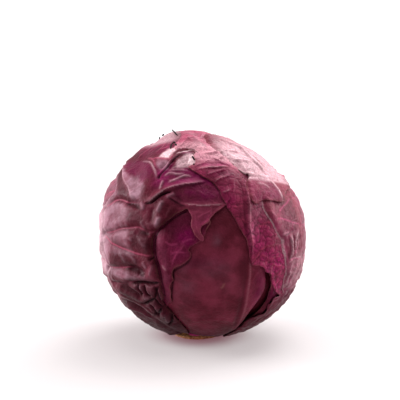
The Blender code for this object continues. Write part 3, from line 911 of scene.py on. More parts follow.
def shape_left_puff(sheet):
    """The big smooth puff in the upper left, with the folds about it."""
    sheet.height += 1.3 * sheet.spot(-43, 44, 14, 13, power=4)
    # painted highlights along the puff's left edge and its crests
    sheet.overlap([(-62, 58), (-60, 55), (-57, 50), (-54, 45), (-52, 42), (-48, 38), (-45, 34),
                   (-42, 29)], 1.3, 9.0, 1.0, "pale", 0.25, 0.1)
    sheet.crest([(-45, 58), (-42, 57.5), (-38, 56), (-34, 54), (-31, 50), (-29, 46), (-28, 42)],
                1.0, 1.8, "pale", 0.25, 0.6)
    sheet.crest([(-40, 60), (-37, 59), (-33, 56.5), (-31, 53), (-29.7, 50)], 0.7, 1.4, "rib", 0.4)
    sheet.crest([(-36, 57), (-32, 58), (-28, 57.5), (-22, 56), (-20.5, 57), (-19.5, 60), (-18, 62)],
                0.8, 1.4, "rib", 0.55)
    sheet.ridge([(-27, 50), (-25, 53), (-24, 55)], 2.4, -0.9)
    sheet.patch([(-29, 59), (-22.5, 57.5), (-20, 62), (-17.5, 66.5), (-23, 66), (-27, 63)],
                "pale", 0.7, 1.6)
    sheet.mark("pale", 0.35 * between(sheet.up, 70, 80) * between(-sheet.right, 12, 30))
    sheet.patch([(-60, 68), (-48, 72), (-40, 74), (-30, 68), (-30, 61), (-40, 62), (-52, 62)],
                "dark", 0.35, 4)
    for line in ([(-42, 66), (-38, 69), (-33, 72), (-27, 74)], [(-34, 62), (-31, 66), (-29, 70), (-28, 76)],
                 [(-50, 60), (-46, 66), (-42, 72), (-40, 78)], [(-31, 66), (-27, 67.5), (-23, 69)]):
        vein(sheet, line, 0.6, 0.4, strength=0.45)
    sheet.patch([(-28, 49), (-23, 49), (-21, 54), (-24, 56.5), (-30, 57)], "bloom_and_sheen", 0.7, 2)
    # painted highlight on a small fold
    sheet.ridge([(-37, 28.5), (-35.5, 27), (-33.5, 23.5)], 1.6, 0.9, "bloom_and_sheen", 0.5)


def shape_left_band(sheet):
    """The band over the front, its slit above and the deep crease below it."""
    sheet.overlap([(-28, 40.5), (-27, 44), (-24, 48), (-20, 53), (-17, 57), (-14, 59.3), (-10, 61),
                   (-5, 62)], 1.8, 4.0, 1.0)
    # painted near-black shade in the slit
    sheet.ridge([(-27.3, 42.5), (-26.4, 45), (-23.5, 48.7), (-19.7, 53.3), (-16.5, 57.3), (-13.5, 59.8)],
                0.8, -1.6, "slit", 1.0, 0.62, 0.06)
    sheet.ridge([(-14, 59.5), (-10, 61), (-6, 62)], 1.0, -0.6, "magenta", 0.8, 0.9)
    # the band's lower rim with a painted highlight, and painted near-black shade in the crease under it
    sheet.overlap([(-36, 24), (-33, 27), (-30, 28.7), (-28, 30.2), (-25, 32.8), (-22, 35), (-18, 37),
                   (-12, 38.3), (-5, 39.5), (3, 42)], 2.0, 6.0, 1.1, "pale", 0.22)
    sheet.ridge([(-34, 26.8), (-32, 27.7), (-29, 28.6), (-26, 31), (-23, 33.3), (-17.5, 35.3)],
                0.9, -1.8, "slit", 1.0, 0.62, 0.15)
    # painted highlights on the band's crests
    for line, strength in (([(-24, 44), (-20, 46.5), (-15, 45.5), (-10, 46)], 0.25),
                           ([(-21, 40), (-16, 42), (-11, 44.5), (-6, 44)], 0.3),
                           ([(-22, 48), (-16, 48.5), (-9, 48)], 0.15),
                           ([(-25, 36), (-24.5, 39), (-23, 42)], 0.2)):
        sheet.crest(line, 0.8, 1.8, "pale", strength)
    # painted highlight on the band's top
    sheet.patch([(-18.5, 50), (-14, 57), (-9, 60.6), (-5.5, 60), (-4, 51.5), (-10, 50.3)], "pale", 0.45, 1.6)
    sheet.patch([(-10, 52), (-9, 56), (-7, 59.5), (-4.8, 57), (-4.5, 53)], "pale", 1.0, 1.2)
    for line in ([(-12, 58), (-10.5, 54), (-13, 51)], [(-9, 60), (-8, 55.5), (-9, 51.5)],
                 [(-7, 60), (-8, 57.5)]):
        sheet.crest(line, 0.6, 1.6, "magenta", 0.4)
    sheet.patch([(-17.5, 61.2), (-14, 62.5), (-8, 63.7), (-12, 61.8)], "pale", 0.8, 0.7)
    crumple(sheet, 3.0, 6, 0.5, 17, sheet.within(-24, -4, 50, 70, 3), 40)
    sheet.mark("magenta", 0.85 * sheet.within(-30, 10, 38, 52, 4))
    sheet.tint("dark", (-15, 46, 12, 4, 0.3))
    sheet.mark("magenta", 0.35 * sheet.within(-50, -20, 62, 84, 6))


def shape_left_flap(sheet):
    """Soft upright folds under the crease, and the torn flap that hangs in front."""
    # soft folds with painted highlights on them
    for line, height, strength in (([(-22, 30), (-22.7, 28), (-23.7, 25.5), (-25, 22)], 1.4, 0.3),
                                   ([(-23.5, 21), (-24.2, 18), (-26, 13.5)], 1.1, 0.28),
                                   ([(-35, 18), (-33.5, 15), (-32, 13)], 0.8, 0.2),
                                   ([(-20.5, 31), (-18, 32.5), (-15.5, 34)], 0.9, 0.3)):
        sheet.ridge(line, 1.7, height, "bloom_and_sheen", 2 * strength, 1.5)
    # painted shade in shallow grooves
    for line in ([(-29, 26), (-28, 22), (-29, 16)], [(-19, 29), (-20, 24), (-21, 19)]):
        sheet.ridge(line, 2.2, -0.9, "dark", 0.35)
    sheet.overlap([(-19, 32), (-17, 30.5), (-14, 28.5), (-11, 27), (-8, 26.3), (-3, 26)], 1.3, 3.0, 0.5)
    # the fold's crest with a painted highlight
    sheet.overlap([(-11.5, 28.3), (-8, 27.5), (-4, 27), (0, 26.8), (4, 27), (8, 27.3), (11, 28),
                   (12.5, 29.2)], 0.7, 5.0, 0.4, "pale", 0.3)
    # painted near-black shade lines under the fold and under the band's edge
    sheet.ridge([(-20, 31), (-17.5, 30.3), (-15, 29), (-11.5, 27.2), (-8, 26.3)], 0.7, -0.5,
                "slit", 0.9, 0.5)
    sheet.ridge([(-18, 36), (-12, 37.6), (-6, 38.7), (0, 40.2), (4, 42)], 0.8, -0.3, "slit", 0.6, 0.6)
    for line in ([(-2, 12), (0, 16), (3.5, 20), (7, 24)], [(-5, 25), (-4, 20), (-3, 15), (-1, 10)],
                 [(-4, 20), (0, 22), (5, 24)]):
        vein(sheet, line, 0.6, 0.3, strength=0.4)
    net_of_veins(sheet, 7.0, 0.3, 0.2, sheet.within(-14, 20, 5, 40), seed=12)
    sheet.tint("magenta", (-1, 19, 8, 8, 0.45), (0, 34, 14, 5, 1.0))
    # painted shade under the band's overhang
    sheet.patch([(-17, 30), (-12, 28.5), (0, 28), (10, 29), (6, 37), (2, 40), (-8, 37.5), (-17, 35)],
                "dark", 0.45, 3)
    sheet.tint("dark", (-14, 31, 6, 4, 0.6), (-19, 23, 5, 7, 0.5))
    lifted_edge(sheet, 0.7, 1.5, sheet.within(-8, 20, 5, 40))
    sheet.mark("rib", 0.26 * sheet.within(-8, 16, 6, 30))


# creases of the veined leaf over the crown: line, rise, how light the painted highlight on its upper side is
CROWN_WRINKLES = [
    ([(-5, 47.8), (0, 49), (6, 50), (12, 50.7), (17, 51)], 1.2, 0.6),
    ([(1, 44.5), (6, 46.3), (10, 47.8), (15, 49.4)], 0.8, 0.25),
    ([(6, 40), (9, 42), (12, 43.3), (17, 45)], 1.0, 0.5), ([(10.5, 34), (13, 34.6), (16, 36)], 0.8, 0.5),
    ([(-6, 50.5), (-1, 52), (3, 54.6), (4.5, 57)], 0.9, 0.3),
    ([(4, 57.5), (8, 56.5), (12, 53.7), (16, 52.5), (20, 54)], 0.9, 0.3),
    ([(9, 55.5), (13, 58.5), (18, 59.5)], 0.7, 0.3),
    ([(-1, 60), (5, 61), (9, 62.6), (13, 64.1), (17, 65.6), (23, 66.2)], 1.5, 0.4),
    ([(1, 68.8), (4, 70.3), (8, 72), (13, 74)], 1.1, 0.3), ([(3, 63), (5, 66.5), (6.5, 70)], 0.7, 0.25),
    ([(6.5, 68.6), (10, 68.4), (14, 66.8)], 0.7, 0.2),
    ([(-12, 72.5), (-8, 75.5), (-3, 76.5), (1, 73)], 0.8, 0.15),
    ([(-4, 62), (-1, 66), (-3, 71)], 0.6, 0.15), ([(-17, 66), (-13, 70), (-10, 76), (-10, 84)], 0.7, 0.1),
    ([(-5, 78), (-2, 84), (0, 92)], 0.7, 0.2),
]
# the same leaf's magenta patches under those creases, with some painted shade: outline, strength
CROWN_BLUSHES = [
    ([(-5, 50.5), (2, 53.2), (6, 57), (10, 56), (14, 53.3), (17, 52.4), (5, 51)], 0.9),
    ([(6, 68.3), (10, 68.2), (13.5, 66.6), (8, 65.6)], 0.7),
    ([(1, 68.6), (4, 70), (6.5, 70.2), (3, 67.8)], 0.8),
    ([(5, 60.8), (9, 62.3), (15, 64.6), (10, 61.5)], 0.8),
    ([(-4, 62), (0, 59), (5, 56), (1, 54.5), (-4, 58)], 0.3),
    ([(14, 56), (18, 57.5), (19.5, 55), (17, 53)], 0.6),
]


def shape_right_veined_leaf(sheet):
    """Net-veined down the right front, wrinkled over the crown, torn at its lower end."""
    right, up = sheet.right, sheet.up
    crown = between(up, 44, 54)
    broad_waves(sheet, 20, 0.8, 9)
    net_of_veins(sheet, 7.0, 0.24, 0.85, 1 - 0.85 * crown, mark="dark")
    shape = crumple(sheet, 6.0, 20, 0.3, 5, 0.15 + 0.6 * crown, -8)
    # painted highlights on the crumpled crests over the crown
    sheet.mark("pale", 0.25 * crown * between(shape, 0.2, 1.0))
    # a soft upright fold with a painted highlight along it, and painted shade in the groove beside it
    sheet.crest([(25, 44), (26, 34), (26, 26), (25, 18), (25.5, 8), (26, -2)], 1.5, 4.0, "pale", 0.1)
    sheet.ridge([(27, 42), (28, 32), (28.5, 22), (28, 12), (28.5, 4)], 3.5, 0.4, "bloom_and_sheen", 0.3, 3.0)
    sheet.ridge([(23, 34), (23, 24), (23.5, 12), (24.5, 2)], 1.6, -0.4, "dark", 0.5, 1.4)
    for line in ([(25, -5), (29, -1), (32, 2), (36, 3.5), (41, 3.3), (47, 4)],
                 [(38, -18), (38.5, -11), (40, -7.7), (43, -9.5), (47, -10), (51, -8)]):
        vein(sheet, line, 0.6, 0.5, strength=0.9)
    for line in ([(25, 4), (26.5, 6), (25.5, 11)], [(26, -4), (30, -3), (32, -1), (36, -3), (39, -6)],
                 [(28, 12), (32, 15), (37, 17), (41, 16.5)], [(33, -8), (36, -5), (40, -4), (47, -4)],
                 [(40, -16), (44, -15), (50, -15)], [(41, -21), (45, -20), (49, -22)],
                 [(19, 18), (22, 19), (25, 16)], [(15, 27), (19, 26), (24, 28)]):
        vein(sheet, line, 0.5, 0.3, strength=0.6)
    wrinkle_crown(sheet)
    lifted_edge(sheet, 1.2, 3.0, between(-up, 0, 8))
    # painted near-black shadow lines under its edges
    sheet.ridge([(-9.7, 50.5), (-7, 47.9), (-3, 45.4), (1, 42.9), (5, 40.4), (8, 36.8), (10, 32.8)],
                0.8, -0.1, "slit", 1.0, 0.5, 0.1)
    sheet.ridge([(-18.5, 64.2), (-15, 65), (-10, 64.8), (-6.5, 64), (-4.5, 62.2), (-2.5, 60)],
                0.6, 0.1, "slit", 0.9, 0.45, 0.1)
    # painted shade under the crown's creases and beside the upright fold
    sheet.mark("dark", 0.6 * sheet.within(4, 25, 30, 51, 3))
    sheet.tint("magenta", (13, 46, 6, 3, 0.8))
    sheet.tint("dark", (12, 46, 6, 4, 0.95), (26, 25, 4, 7, 0.5))
    tucked_edge(sheet, between(up, 60, 66) * between(-right, -4, 2), 1.3, 3.0)
    tucked_edge(sheet, between(up, 68, 76), 2.4, 6.0)
    shade_veined_leaf(sheet)


def wrinkle_crown(sheet):
    """Fine overlapping creases across the crown with painted highlights on their upper sides, magenta and
    painted shade where they are sheltered.
    """
    for line, rise, light in CROWN_WRINKLES:
        sheet.overlap(line, 0.75 * rise, 3.4, 0.6, "pale", light)
    for outline, strength in CROWN_BLUSHES:
        sheet.patch(outline, "magenta", strength, 1.2)
        sheet.patch(outline, "dark", 0.35 * strength, 1.2)


def shade_veined_leaf(sheet):
    """Magenta between the veins, painted shade beside the front leaf and painted top light on the crown."""
    up = sheet.up
    sheet.tint("magenta", (30, 9, 8, 8, 0.9), (44, -8, 8, 8, 1.0), (44, -24, 6, 8, 0.9),
               (36, -3, 8, 6, 0.8), (38, -11, 7, 6, 1.0), (14, 33, 6, 8, 0.6), (8, 47, 10, 3, 0.4),
               (4, 56, 6, 3, 0.4))
    sheet.tint("dark", (20, 26, 4, 14, 0.45), (17, 46, 8, 5, 0.8))
    sheet.ridge([(37.5, -13), (38.5, -10), (40, -8)], 2.0, 0.2, "bloom_and_sheen", 0.8)
    sheet.mark("bloom_and_sheen", 0.35 * sheet.within(28, 50, 20, 48, 6))
    # painted top light on the crown
    sheet.mark("pale", 0.52 * between(up, 50, 58) * between(-up, -74, -66))
    sheet.mark("pale", 0.08 * between(up, 50, 58) + 0.35 * sheet.within(5, 40, 62, 92, 6))


RIGHT_MIDRIB = [(52, -82), (72, -58), (86, -25), (92, 5), (88, 35), (82, 54)]


def shape_right_outer_leaf(sheet):
    """Pale and pinkish down the right side, its seen edge drawn under the veined leaf."""
    right, up = sheet.right, sheet.up
    broad_waves(sheet, 14, 0.9, 10)
    net_of_veins(sheet, 10.0, 0.5, 0.25, seed=5)
    seen = between(-right, -58, -50) * between(up, -34, -28)
    tucked_edge(sheet, seen, 0.6, 3.0)
    sheet.rim_wear = 0.15
    # painted highlight along the seen edge
    sheet.mark("pale", 0.7 * seen * np.exp(-(sheet.edge_gap / 0.6) ** 2))
    # painted sheen over the side that turns away
    sheet.mark("pale", 0.22 * sheet.within(54, 80, -30, -8, 5))
    vein_right_leaf(sheet)
    fold_right_leaf(sheet)
    shade_right_leaf(sheet)
    sheet.crease(RIGHT_MIDRIB, 1.2, 7.0, ends=0.02)
    sheet.ridge(RIGHT_MIDRIB, 1.8, 1.8, "rib", 0.7, 1.3, 0.1)
    for line in ([(78, -45), (92, -46), (104, -42)], [(86, -25), (98, -18), (110, -8)],
                 [(91, 0), (104, 10), (114, 18)], [(90, 22), (100, 34), (106, 42)],
                 [(80, -40), (70, -34), (62, -31)], [(88, -15), (78, -12), (70, -11)],
                 [(91, 10), (80, 11), (72, 12)], [(89, 28), (78, 32), (66, 34)]):
        vein(sheet, line, 0.8, 0.5, 1.5, 6.0, 0.9)
    sheet.height *= 1 - 0.85 * seen * np.exp(-(sheet.edge_gap / 3.0) ** 2)


def vein_right_leaf(sheet):
    """Veins in shallow valleys between its puffed cells."""
    for line, strength in (([(45, 20), (47, 22.5), (52, 26), (56, 28), (64, 33)], 0.9),
                           ([(40, 16.5), (45, 18.5), (50, 18), (55, 16.5), (60, 15), (72, 12)], 1.0),
                           ([(45, 9), (50, 9), (57, 9.5), (64, 10)], 0.7),
                           ([(57, 9.5), (59, 14), (58, 20)], 0.5),
                           ([(47, 5), (50, -1), (52, -9), (54, -12)], 0.6),
                           ([(50, -9), (57, -8), (63, -10), (72, -13)], 0.9),
                           ([(57, -7), (61, -3), (65, 1), (70, 6)], 0.6),
                           ([(51, -16), (57, -14), (65, -12)], 0.5),
                           ([(50, -24), (57, -21), (64, -22)], 0.5)):
        vein(sheet, line, 0.8, 0.5, 0.6, 3.0, strength)
        sheet.ridge(line, 0.8, 0.0, "rib", 0.5 * strength, 0.9)


def fold_right_leaf(sheet):
    """Painted highlights on the crests between the veins, painted shade in the creases under them, and
    crumpling.
    """
    for line in ([(48, 8), (48.5, 0), (51, -8)], [(54, 8), (55, 0), (53, -9)], [(56, 9), (57, 1), (56, -7)],
                 [(66, 10), (61, 3), (60, -4)], [(57, -7), (53, -20), (50, -29)],
                 [(70, -12), (65, -20), (58, -27)], [(47, 9), (55, 9)], [(51, -10), (58, -8), (70, -11)]):
        sheet.crest(line, 0.9, 1.6, "pale", 0.5, 0.8)
    for line, rise in (([(54, 9), (55, 4), (54.7, -1), (53.5, -8)], 1.3),
                       ([(58, -9), (62, -3), (68, 4)], 1.0),
                       ([(64, -8), (60, -15), (55, -22), (51, -28)], 1.2),
                       ([(66, -24), (58, -30), (50, -34)], 1.0),
                       ([(60, -36), (50, -38), (42, -43)], 0.9),
                       ([(56, -50), (46, -50), (38, -54)], 0.9)):
        sheet.crest(line, 1.2 * rise, 3.0, "pale", 0.4, 0.7)
    sheet.crease([(58, 9.5), (58.5, 4), (57.5, -2), (56, -6)], 1.2, 2.5, "dark", 0.5)
    sheet.crease([(46.5, 8.2), (52, 8.6), (57, 9.2), (64, 10)], 1.0, 2.0, "dark", 0.5)
    sheet.crease([(60, -6), (63.5, -2), (66.5, 2), (70, 5)], 1.4, 2.5, "dark", 0.6)
    sheet.crease([(50, -29), (56, -31.5), (62, -32), (68, -30)], 2.0, 4.0, "dark", 0.7)
    crumple(sheet, 5, 16, 0.6, 6, between(-sheet.up, -5, 20), 30)
    crumple(sheet, 12, 18, 0.6, 16, 1.0, 70)


def shade_right_leaf(sheet):
    """Darker above, painted shade low down, and wax dust with painted sheen toward the side that turns away.
    """
    right, up = sheet.right, sheet.up
    sheet.mark("bloom_and_sheen", 0.05 * sheet.within(45, 90, -10, 30, 8))
    sheet.mark("dark", 0.22 * sheet.within(50, 66, 10, 34, 6))
    sheet.mark("bloom_and_sheen", 0.2 * sheet.within(50, 80, -34, -12, 6))
    sheet.mark("magenta", 0.3 * sheet.within(36, 60, -45, 20, 8))
    # painted shade low down
    sheet.mark("dark", 0.6 * between(-up, 28, 38) * between(-right, -76, -58))
    sheet.mark("dark", 0.4 * between(-up, 30, 66))
    # wax dust and painted sheen toward the limb
    sheet.mark("bloom_and_sheen", 0.6 * between(right, 64, 84) * (0.5 + 0.5 * noise(sheet.points, 24, 45)))


def shape_top_right_leaf(sheet):
    """Painted pale sheen over the upper right, drawn into the crown, with a tongue turned down in front."""
    right, up = sheet.right, sheet.up
    broad_waves(sheet, 18, 0.6, 12)
    tongue = between(45 - up, 0, 3)
    net_of_veins(sheet, 10.0, 0.35, 0.2, seed=6)
    # painted highlights on the crests and on the fold over the tongue
    for line, strength in (([(28, 78), (30, 73), (35, 63), (40, 56), (44, 50), (47, 46)], 0.9),
                           ([(33, 71), (39, 60), (44, 52)], 0.5), ([(20, 57), (26, 58), (35, 58)], 0.4),
                           ([(8, 84), (18, 79), (30, 73), (42, 62), (51, 51)], 0.5),
                           ([(14, 66), (20, 67), (28, 66)], 0.4), ([(28, 50), (33, 53), (36, 58)], 0.4)):
        sheet.crest(line, 1.3, 3.0, "pale", strength)
    sheet.overlap([(18, 54), (20, 51), (24, 49.3), (28, 47.3), (34, 46.8), (42, 46.8), (48, 46.8),
                   (56, 47.3), (64, 48.5)], 0.6, 3.0, 0.6, "pale", 0.25)
    sheet.crest([(46, 46), (49, 41), (51, 36), (52, 30)], 0.9, 2.0, "pale", 0.8)
    sheet.crest([(33, 41), (39, 41), (44, 38)], 0.4, 1.8, "pale", 0.3)
    crumple(sheet, 4, 14, 0.3, 7, 1 - tongue, -30)
    tucked_edge(sheet, np.maximum(between(up, 48, 52), 0.8 * between(28 - right, 0, 1)))
    # painted sheen over the upper right, where light grazes it
    sheet.mark("pale", (0.62 + 0.12 * noise(sheet.points, 9, 44)) * (1 - tongue) * between(right, 2, 22)
               * (1 - 0.75 * between(right, 58, 84)) * (1 - 0.5 * between(up, 66, 88)))
    for line in ([(96, 70), (82, 63), (70, 58), (60, 54)], [(92, 84), (80, 77), (70, 73), (60, 71)],
                 [(80, 94), (66, 90), (52, 87), (40, 86)], [(84, 66), (80, 56), (72, 48)],
                 [(80, 78), (74, 86), (70, 96)], [(88, 72), (92, 66), (96, 62)],
                 [(70, 72), (66, 66), (60, 62)]):
        vein(sheet, line, 0.7, 0.5, 1.0, 4.0, 0.8)
    crumple(sheet, 7, 14, 0.6, 27, between(right, 56, 76), 30)
    sheet.patch([(28, 45), (45, 45.5), (50, 38), (51, 31), (30, 30), (27, 36)], "magenta", 0.35, 2)


def ribs(base, tip, pairs, spread, reach):
    """A midrib from base to tip and side veins that leave it in pairs and curve up to the edge."""
    base, tip = np.array(base, float), np.array(tip, float)
    axis = tip - base
    across = np.array([axis[1], -axis[0]]) / np.hypot(*axis)
    bend = 3.0 * across
    midrib = [tuple(base + axis * t + bend * math.sin(3 * t)) for t in np.linspace(0, 1, 7)]
    sides = []
    for k in range(pairs):
        start = 0.12 + 0.75 * k / pairs
        for hand in (-1, 1):
            root = base + axis * (start + 0.03 * hand) + bend * math.sin(3 * start)
            wide = reach * math.sin(math.pi * (0.18 + 0.72 * start)) * hand
            sides.append([tuple(root + across * wide * t + axis * spread * t ** 1.5)
                          for t in (0, 0.3, 0.6, 1)])
    return midrib, sides


def shape_back_leaf(sheet, base, tip, pairs, reach, seed):
    """An outer leaf that is not seen in front: a midrib, side veins and a puckered blade."""
    midrib, sides = ribs(base, tip, pairs, 0.25, reach)
    sheet.height += round_edge(sheet, 2.0, 5.0)
    broad_waves(sheet, 14, 0.9, seed)
    for line in sides:
        vein(sheet, line, 0.8, 0.5, 1.5, 6.0, 0.9)
    sheet.crease(midrib, 1.2, 7.0, ends=0.02)
    sheet.ridge(midrib, 1.8, 1.8, "rib", 0.7, 1.3)
    net_of_veins(sheet, 9.0, 0.4, 0.25, seed=seed)
    crumple(sheet, 8, 14, 0.45, seed + 20, 1.0, 30)
    low = between(-sheet.up, 30, 50)
    crumple(sheet, 4.5, 10, 0.6, seed + 30, low, 80)
    # painted shade, darker low down
    sheet.mark("dark", 0.5 * low)
    sheet.mark("bloom_and_sheen", 0.7 * (0.5 + 0.5 * noise(sheet.points, 30, seed + 3)))


SHAPES = {
    "front_leaf": shape_front_leaf,
    "torn_inner_leaf": shape_torn_inner_leaf,
    "right_inner_leaf": shape_right_inner_leaf,
    "back_middle_leaf": lambda sheet: shape_back_leaf(sheet, (2, -74), (6, 80), 6, 48, 21),
    "back_left_leaf": lambda sheet: shape_back_leaf(sheet, (4, -72), (10, 56), 6, 42, 22),
    "left_outer_leaf": shape_left_outer_leaf,
    "back_right_leaf": lambda sheet: shape_back_leaf(sheet, (2, -73), (0, 56), 6, 40, 23),
    "right_veined_leaf": shape_right_veined_leaf,
    "right_outer_leaf": shape_right_outer_leaf,
    "top_right_leaf": shape_top_right_leaf,
}


# ---------------------------------------------------------------- materials

class Nodes:
    """Short calls for building a material's nodes."""

    def __init__(self, name):
        self.material = bpy.data.materials.new(name)
        self.material.use_nodes = True
        self.tree = self.material.node_tree
        self.shader = self.tree.nodes["Principled BSDF"]
        self.place = self.tree.nodes.new("ShaderNodeTexCoord").outputs["Object"]

    def link(self, value, socket):
        """Feeds a socket with another node's output or a plain value."""
        if isinstance(value, bpy.types.NodeSocket):
            self.tree.links.new(value, socket)
        else:
            socket.default_value = value

    def mark(self, name):
        """One of the mesh's colour marks."""
        node = self.tree.nodes.new("ShaderNodeAttribute")
        node.attribute_name = name
        return node.outputs["Fac"]

    def noise(self, size, detail=3.0, roughness=0.55):
        """Noise with features about a size in millimetres across."""
        node = self.tree.nodes.new("ShaderNodeTexNoise")
        self.link(self.place, node.inputs["Vector"])
        node.inputs["Scale"].default_value = 1 / (size * MM)
        node.inputs["Detail"].default_value = detail
        node.inputs["Roughness"].default_value = roughness
        return node.outputs["Fac"]

    def walls(self, size):
        """Distance from the walls of uneven cells about a size in millimetres across."""
        warp = self.tree.nodes.new("ShaderNodeTexNoise")
        self.link(self.place, warp.inputs["Vector"])
        warp.inputs["Scale"].default_value = 0.8 / (size * MM)
        bend = self.tree.nodes.new("ShaderNodeVectorMath")
        bend.operation = "MULTIPLY_ADD"
        self.link(warp.outputs["Color"], bend.inputs[0])
        bend.inputs[1].default_value = (size * MM,) * 3
        self.link(self.place, bend.inputs[2])
        node = self.tree.nodes.new("ShaderNodeTexVoronoi")
        node.feature = "DISTANCE_TO_EDGE"
        self.link(bend.outputs["Vector"], node.inputs["Vector"])
        node.inputs["Scale"].default_value = 1 / (size * MM)
        return node.outputs["Distance"]

    def times(self, a, b):
        """Product of two values, held between 0 and 1."""
        node = self.tree.nodes.new("ShaderNodeMath")
        node.operation = "MULTIPLY"
        node.use_clamp = True
        self.link(a, node.inputs[0])
        self.link(b, node.inputs[1])
        return node.outputs[0]

    def ramp(self, value, low, high, at_low=0.0, at_high=1.0):
        """Smooth step from one number to another between two values."""
        node = self.tree.nodes.new("ShaderNodeMapRange")
        node.interpolation_type = "SMOOTHSTEP"
        self.link(value, node.inputs["Value"])
        for key, number in (("From Min", low), ("From Max", high), ("To Min", at_low), ("To Max", at_high)):
            node.inputs[key].default_value = number
        return node.outputs["Result"]

    def mix(self, amount, a, b):
        """Blends two colours. The mix node keeps those in sockets 6 and 7, and its result in 2."""
        node = self.tree.nodes.new("ShaderNodeMix")
        node.data_type = "RGBA"
        self.link(amount, node.inputs["Factor"])
        for value, key in ((a, 6), (b, 7)):
            self.link((*value, 1.0) if isinstance(value, tuple) else value, node.inputs[key])
        return node.outputs[2]

    def bump(self, height, distance, strength, normal=None):
        """Relief a distance in millimetres deep, on top of an earlier relief if one is given."""
        node = self.tree.nodes.new("ShaderNodeBump")
        node.inputs["Distance"].default_value = distance * MM
        node.inputs["Strength"].default_value = strength
        self.link(height, node.inputs["Height"])
        if normal:
            self.link(normal, node.inputs["Normal"])
        return node.outputs["Normal"]


# painted shade: near-black where leaves meet or fold into slits
SLIT_SHADE_COLOUR = (0.004, 0.0005, 0.0012)     # the dark between two leaves


def leaf_material(name, deep, light, magenta=(0.13, 0.001, 0.045), rib=(0.28, 0.03, 0.065),
                  bloom_and_sheen=(0.24, 0.11, 0.16), pale=(0.7, 0.38, 0.43), rim=(0.25, 0.09, 0.08),
                  net_size=3.4, net_strength=0.05, net_colour=None, sheen=0.0):
    """Leaf skin: mottled, with wax dust, painted sheen, highlights and shade, veins and edges where the
    sheet's marks put them.
    """
    n = Nodes(name)
    mottle = n.ramp(n.noise(14, 4), 0.35, 0.68)
    fine = n.noise(1.3, 4, 0.65)
    net = n.walls(net_size)
    colour = n.mix(mottle, deep, light)
    magenta_amount = n.times(n.mark("magenta"), n.ramp(n.noise(6, 3), 0.3, 0.6, 0.45, 1.0))
    colour = n.mix(magenta_amount, colour, magenta)
    # wax dust and painted sheen where that mark lies, made patchy by noise
    patchiness = n.ramp(n.noise(9, 4, 0.55), 0.3, 0.7, 0.25, 0.8)
    colour = n.mix(n.times(n.mark("bloom_and_sheen"), patchiness), colour, bloom_and_sheen)
    # pale skin and painted highlights where that mark lies
    pale_amount = n.times(n.mark("pale"), n.ramp(fine, 0.3, 0.7, 0.6, 1.0))
    colour = n.mix(pale_amount, colour, pale)
    colour = n.mix(n.ramp(net, 0.01, 0.075, net_strength, 0.0), colour, net_colour or rib)
    colour = n.mix(n.times(n.mark("rib"), 0.8), colour, rib)
    colour = n.mix(n.times(n.mark("rim"), 0.65), colour, rim)
    # the deep colour darkened: for fine random flecks, for painted shade where the dark mark lies and for
    # the veined leaf's dark net
    shadow = tuple(channel * 0.3 for channel in deep)
    colour = n.mix(n.ramp(fine, 0.3, 0.75, 0.15, 0.0), colour, shadow)
    colour = n.mix(n.times(n.mark("dark"), 0.85), colour, shadow)
    # painted near-black shade in slits and gaps between leaves
    colour = n.mix(n.mark("slit"), colour, SLIT_SHADE_COLOUR)
    n.link(colour, n.shader.inputs["Base Color"])
    rough = n.ramp(n.noise(5, 4, 0.6), 0.3, 0.7, 0.32, 0.5)
    n.link(rough, n.shader.inputs["Roughness"])
    normal = n.bump(n.ramp(net, 0.0, 0.2), 0.15, 0.6)
    normal = n.bump(fine, 0.1, 0.5, normal)
    n.link(normal, n.shader.inputs["Normal"])
    n.shader.inputs["Specular IOR Level"].default_value = 0.05
    n.shader.inputs["Specular Tint"].default_value = (1.0, 0.45, 0.6, 1)
    n.shader.inputs["Sheen Weight"].default_value = sheen
    n.shader.inputs["Sheen Roughness"].default_value = 0.4
    return n.material


def make_materials():
    """The leaves' skins go by the record's material slots."""
    return {
        "leaf_burgundy": leaf_material("leaf_burgundy", (0.084, 0.009, 0.018), (0.166, 0.022, 0.044)),
        "leaf_magenta": leaf_material("leaf_magenta", (0.055, 0.003, 0.012), (0.1, 0.009, 0.026),
                                      bloom_and_sheen=(0.3, 0.07, 0.13), rib=(0.36, 0.05, 0.13)),
        "leaf_waxy": leaf_material("leaf_waxy", (0.055, 0.005, 0.011), (0.11, 0.014, 0.029),
                                   bloom_and_sheen=(0.42, 0.24, 0.305), rib=(0.42, 0.075, 0.14),
                                   pale=(0.85, 0.58, 0.62), sheen=0.015),
        "leaf_veined": leaf_material("leaf_veined", (0.125, 0.011, 0.031), (0.24, 0.027, 0.067),
                                     magenta=(0.29, 0.011, 0.088), net_size=4.5, net_strength=0.35,
                                     net_colour=(0.03, 0.002, 0.008)),
        "leaf_pale": leaf_material("leaf_pale", (0.09, 0.0125, 0.022), (0.16, 0.029, 0.044),
                                   bloom_and_sheen=(0.34, 0.15, 0.21), rib=(0.42, 0.06, 0.15),
                                   pale=(0.68, 0.46, 0.5), sheen=0.015),
        "inner_head": leaf_material("inner_head", (0.03, 0.002, 0.005), (0.06, 0.006, 0.012)),
        "cut_flesh": leaf_material("cut_flesh", (0.3, 0.015, 0.1), (0.5, 0.08, 0.22)),
        "stump": stump_material(),
        "slivers": leaf_material("dried_slivers", (0.004, 0.0015, 0.002), (0.012, 0.004, 0.005)),
    }


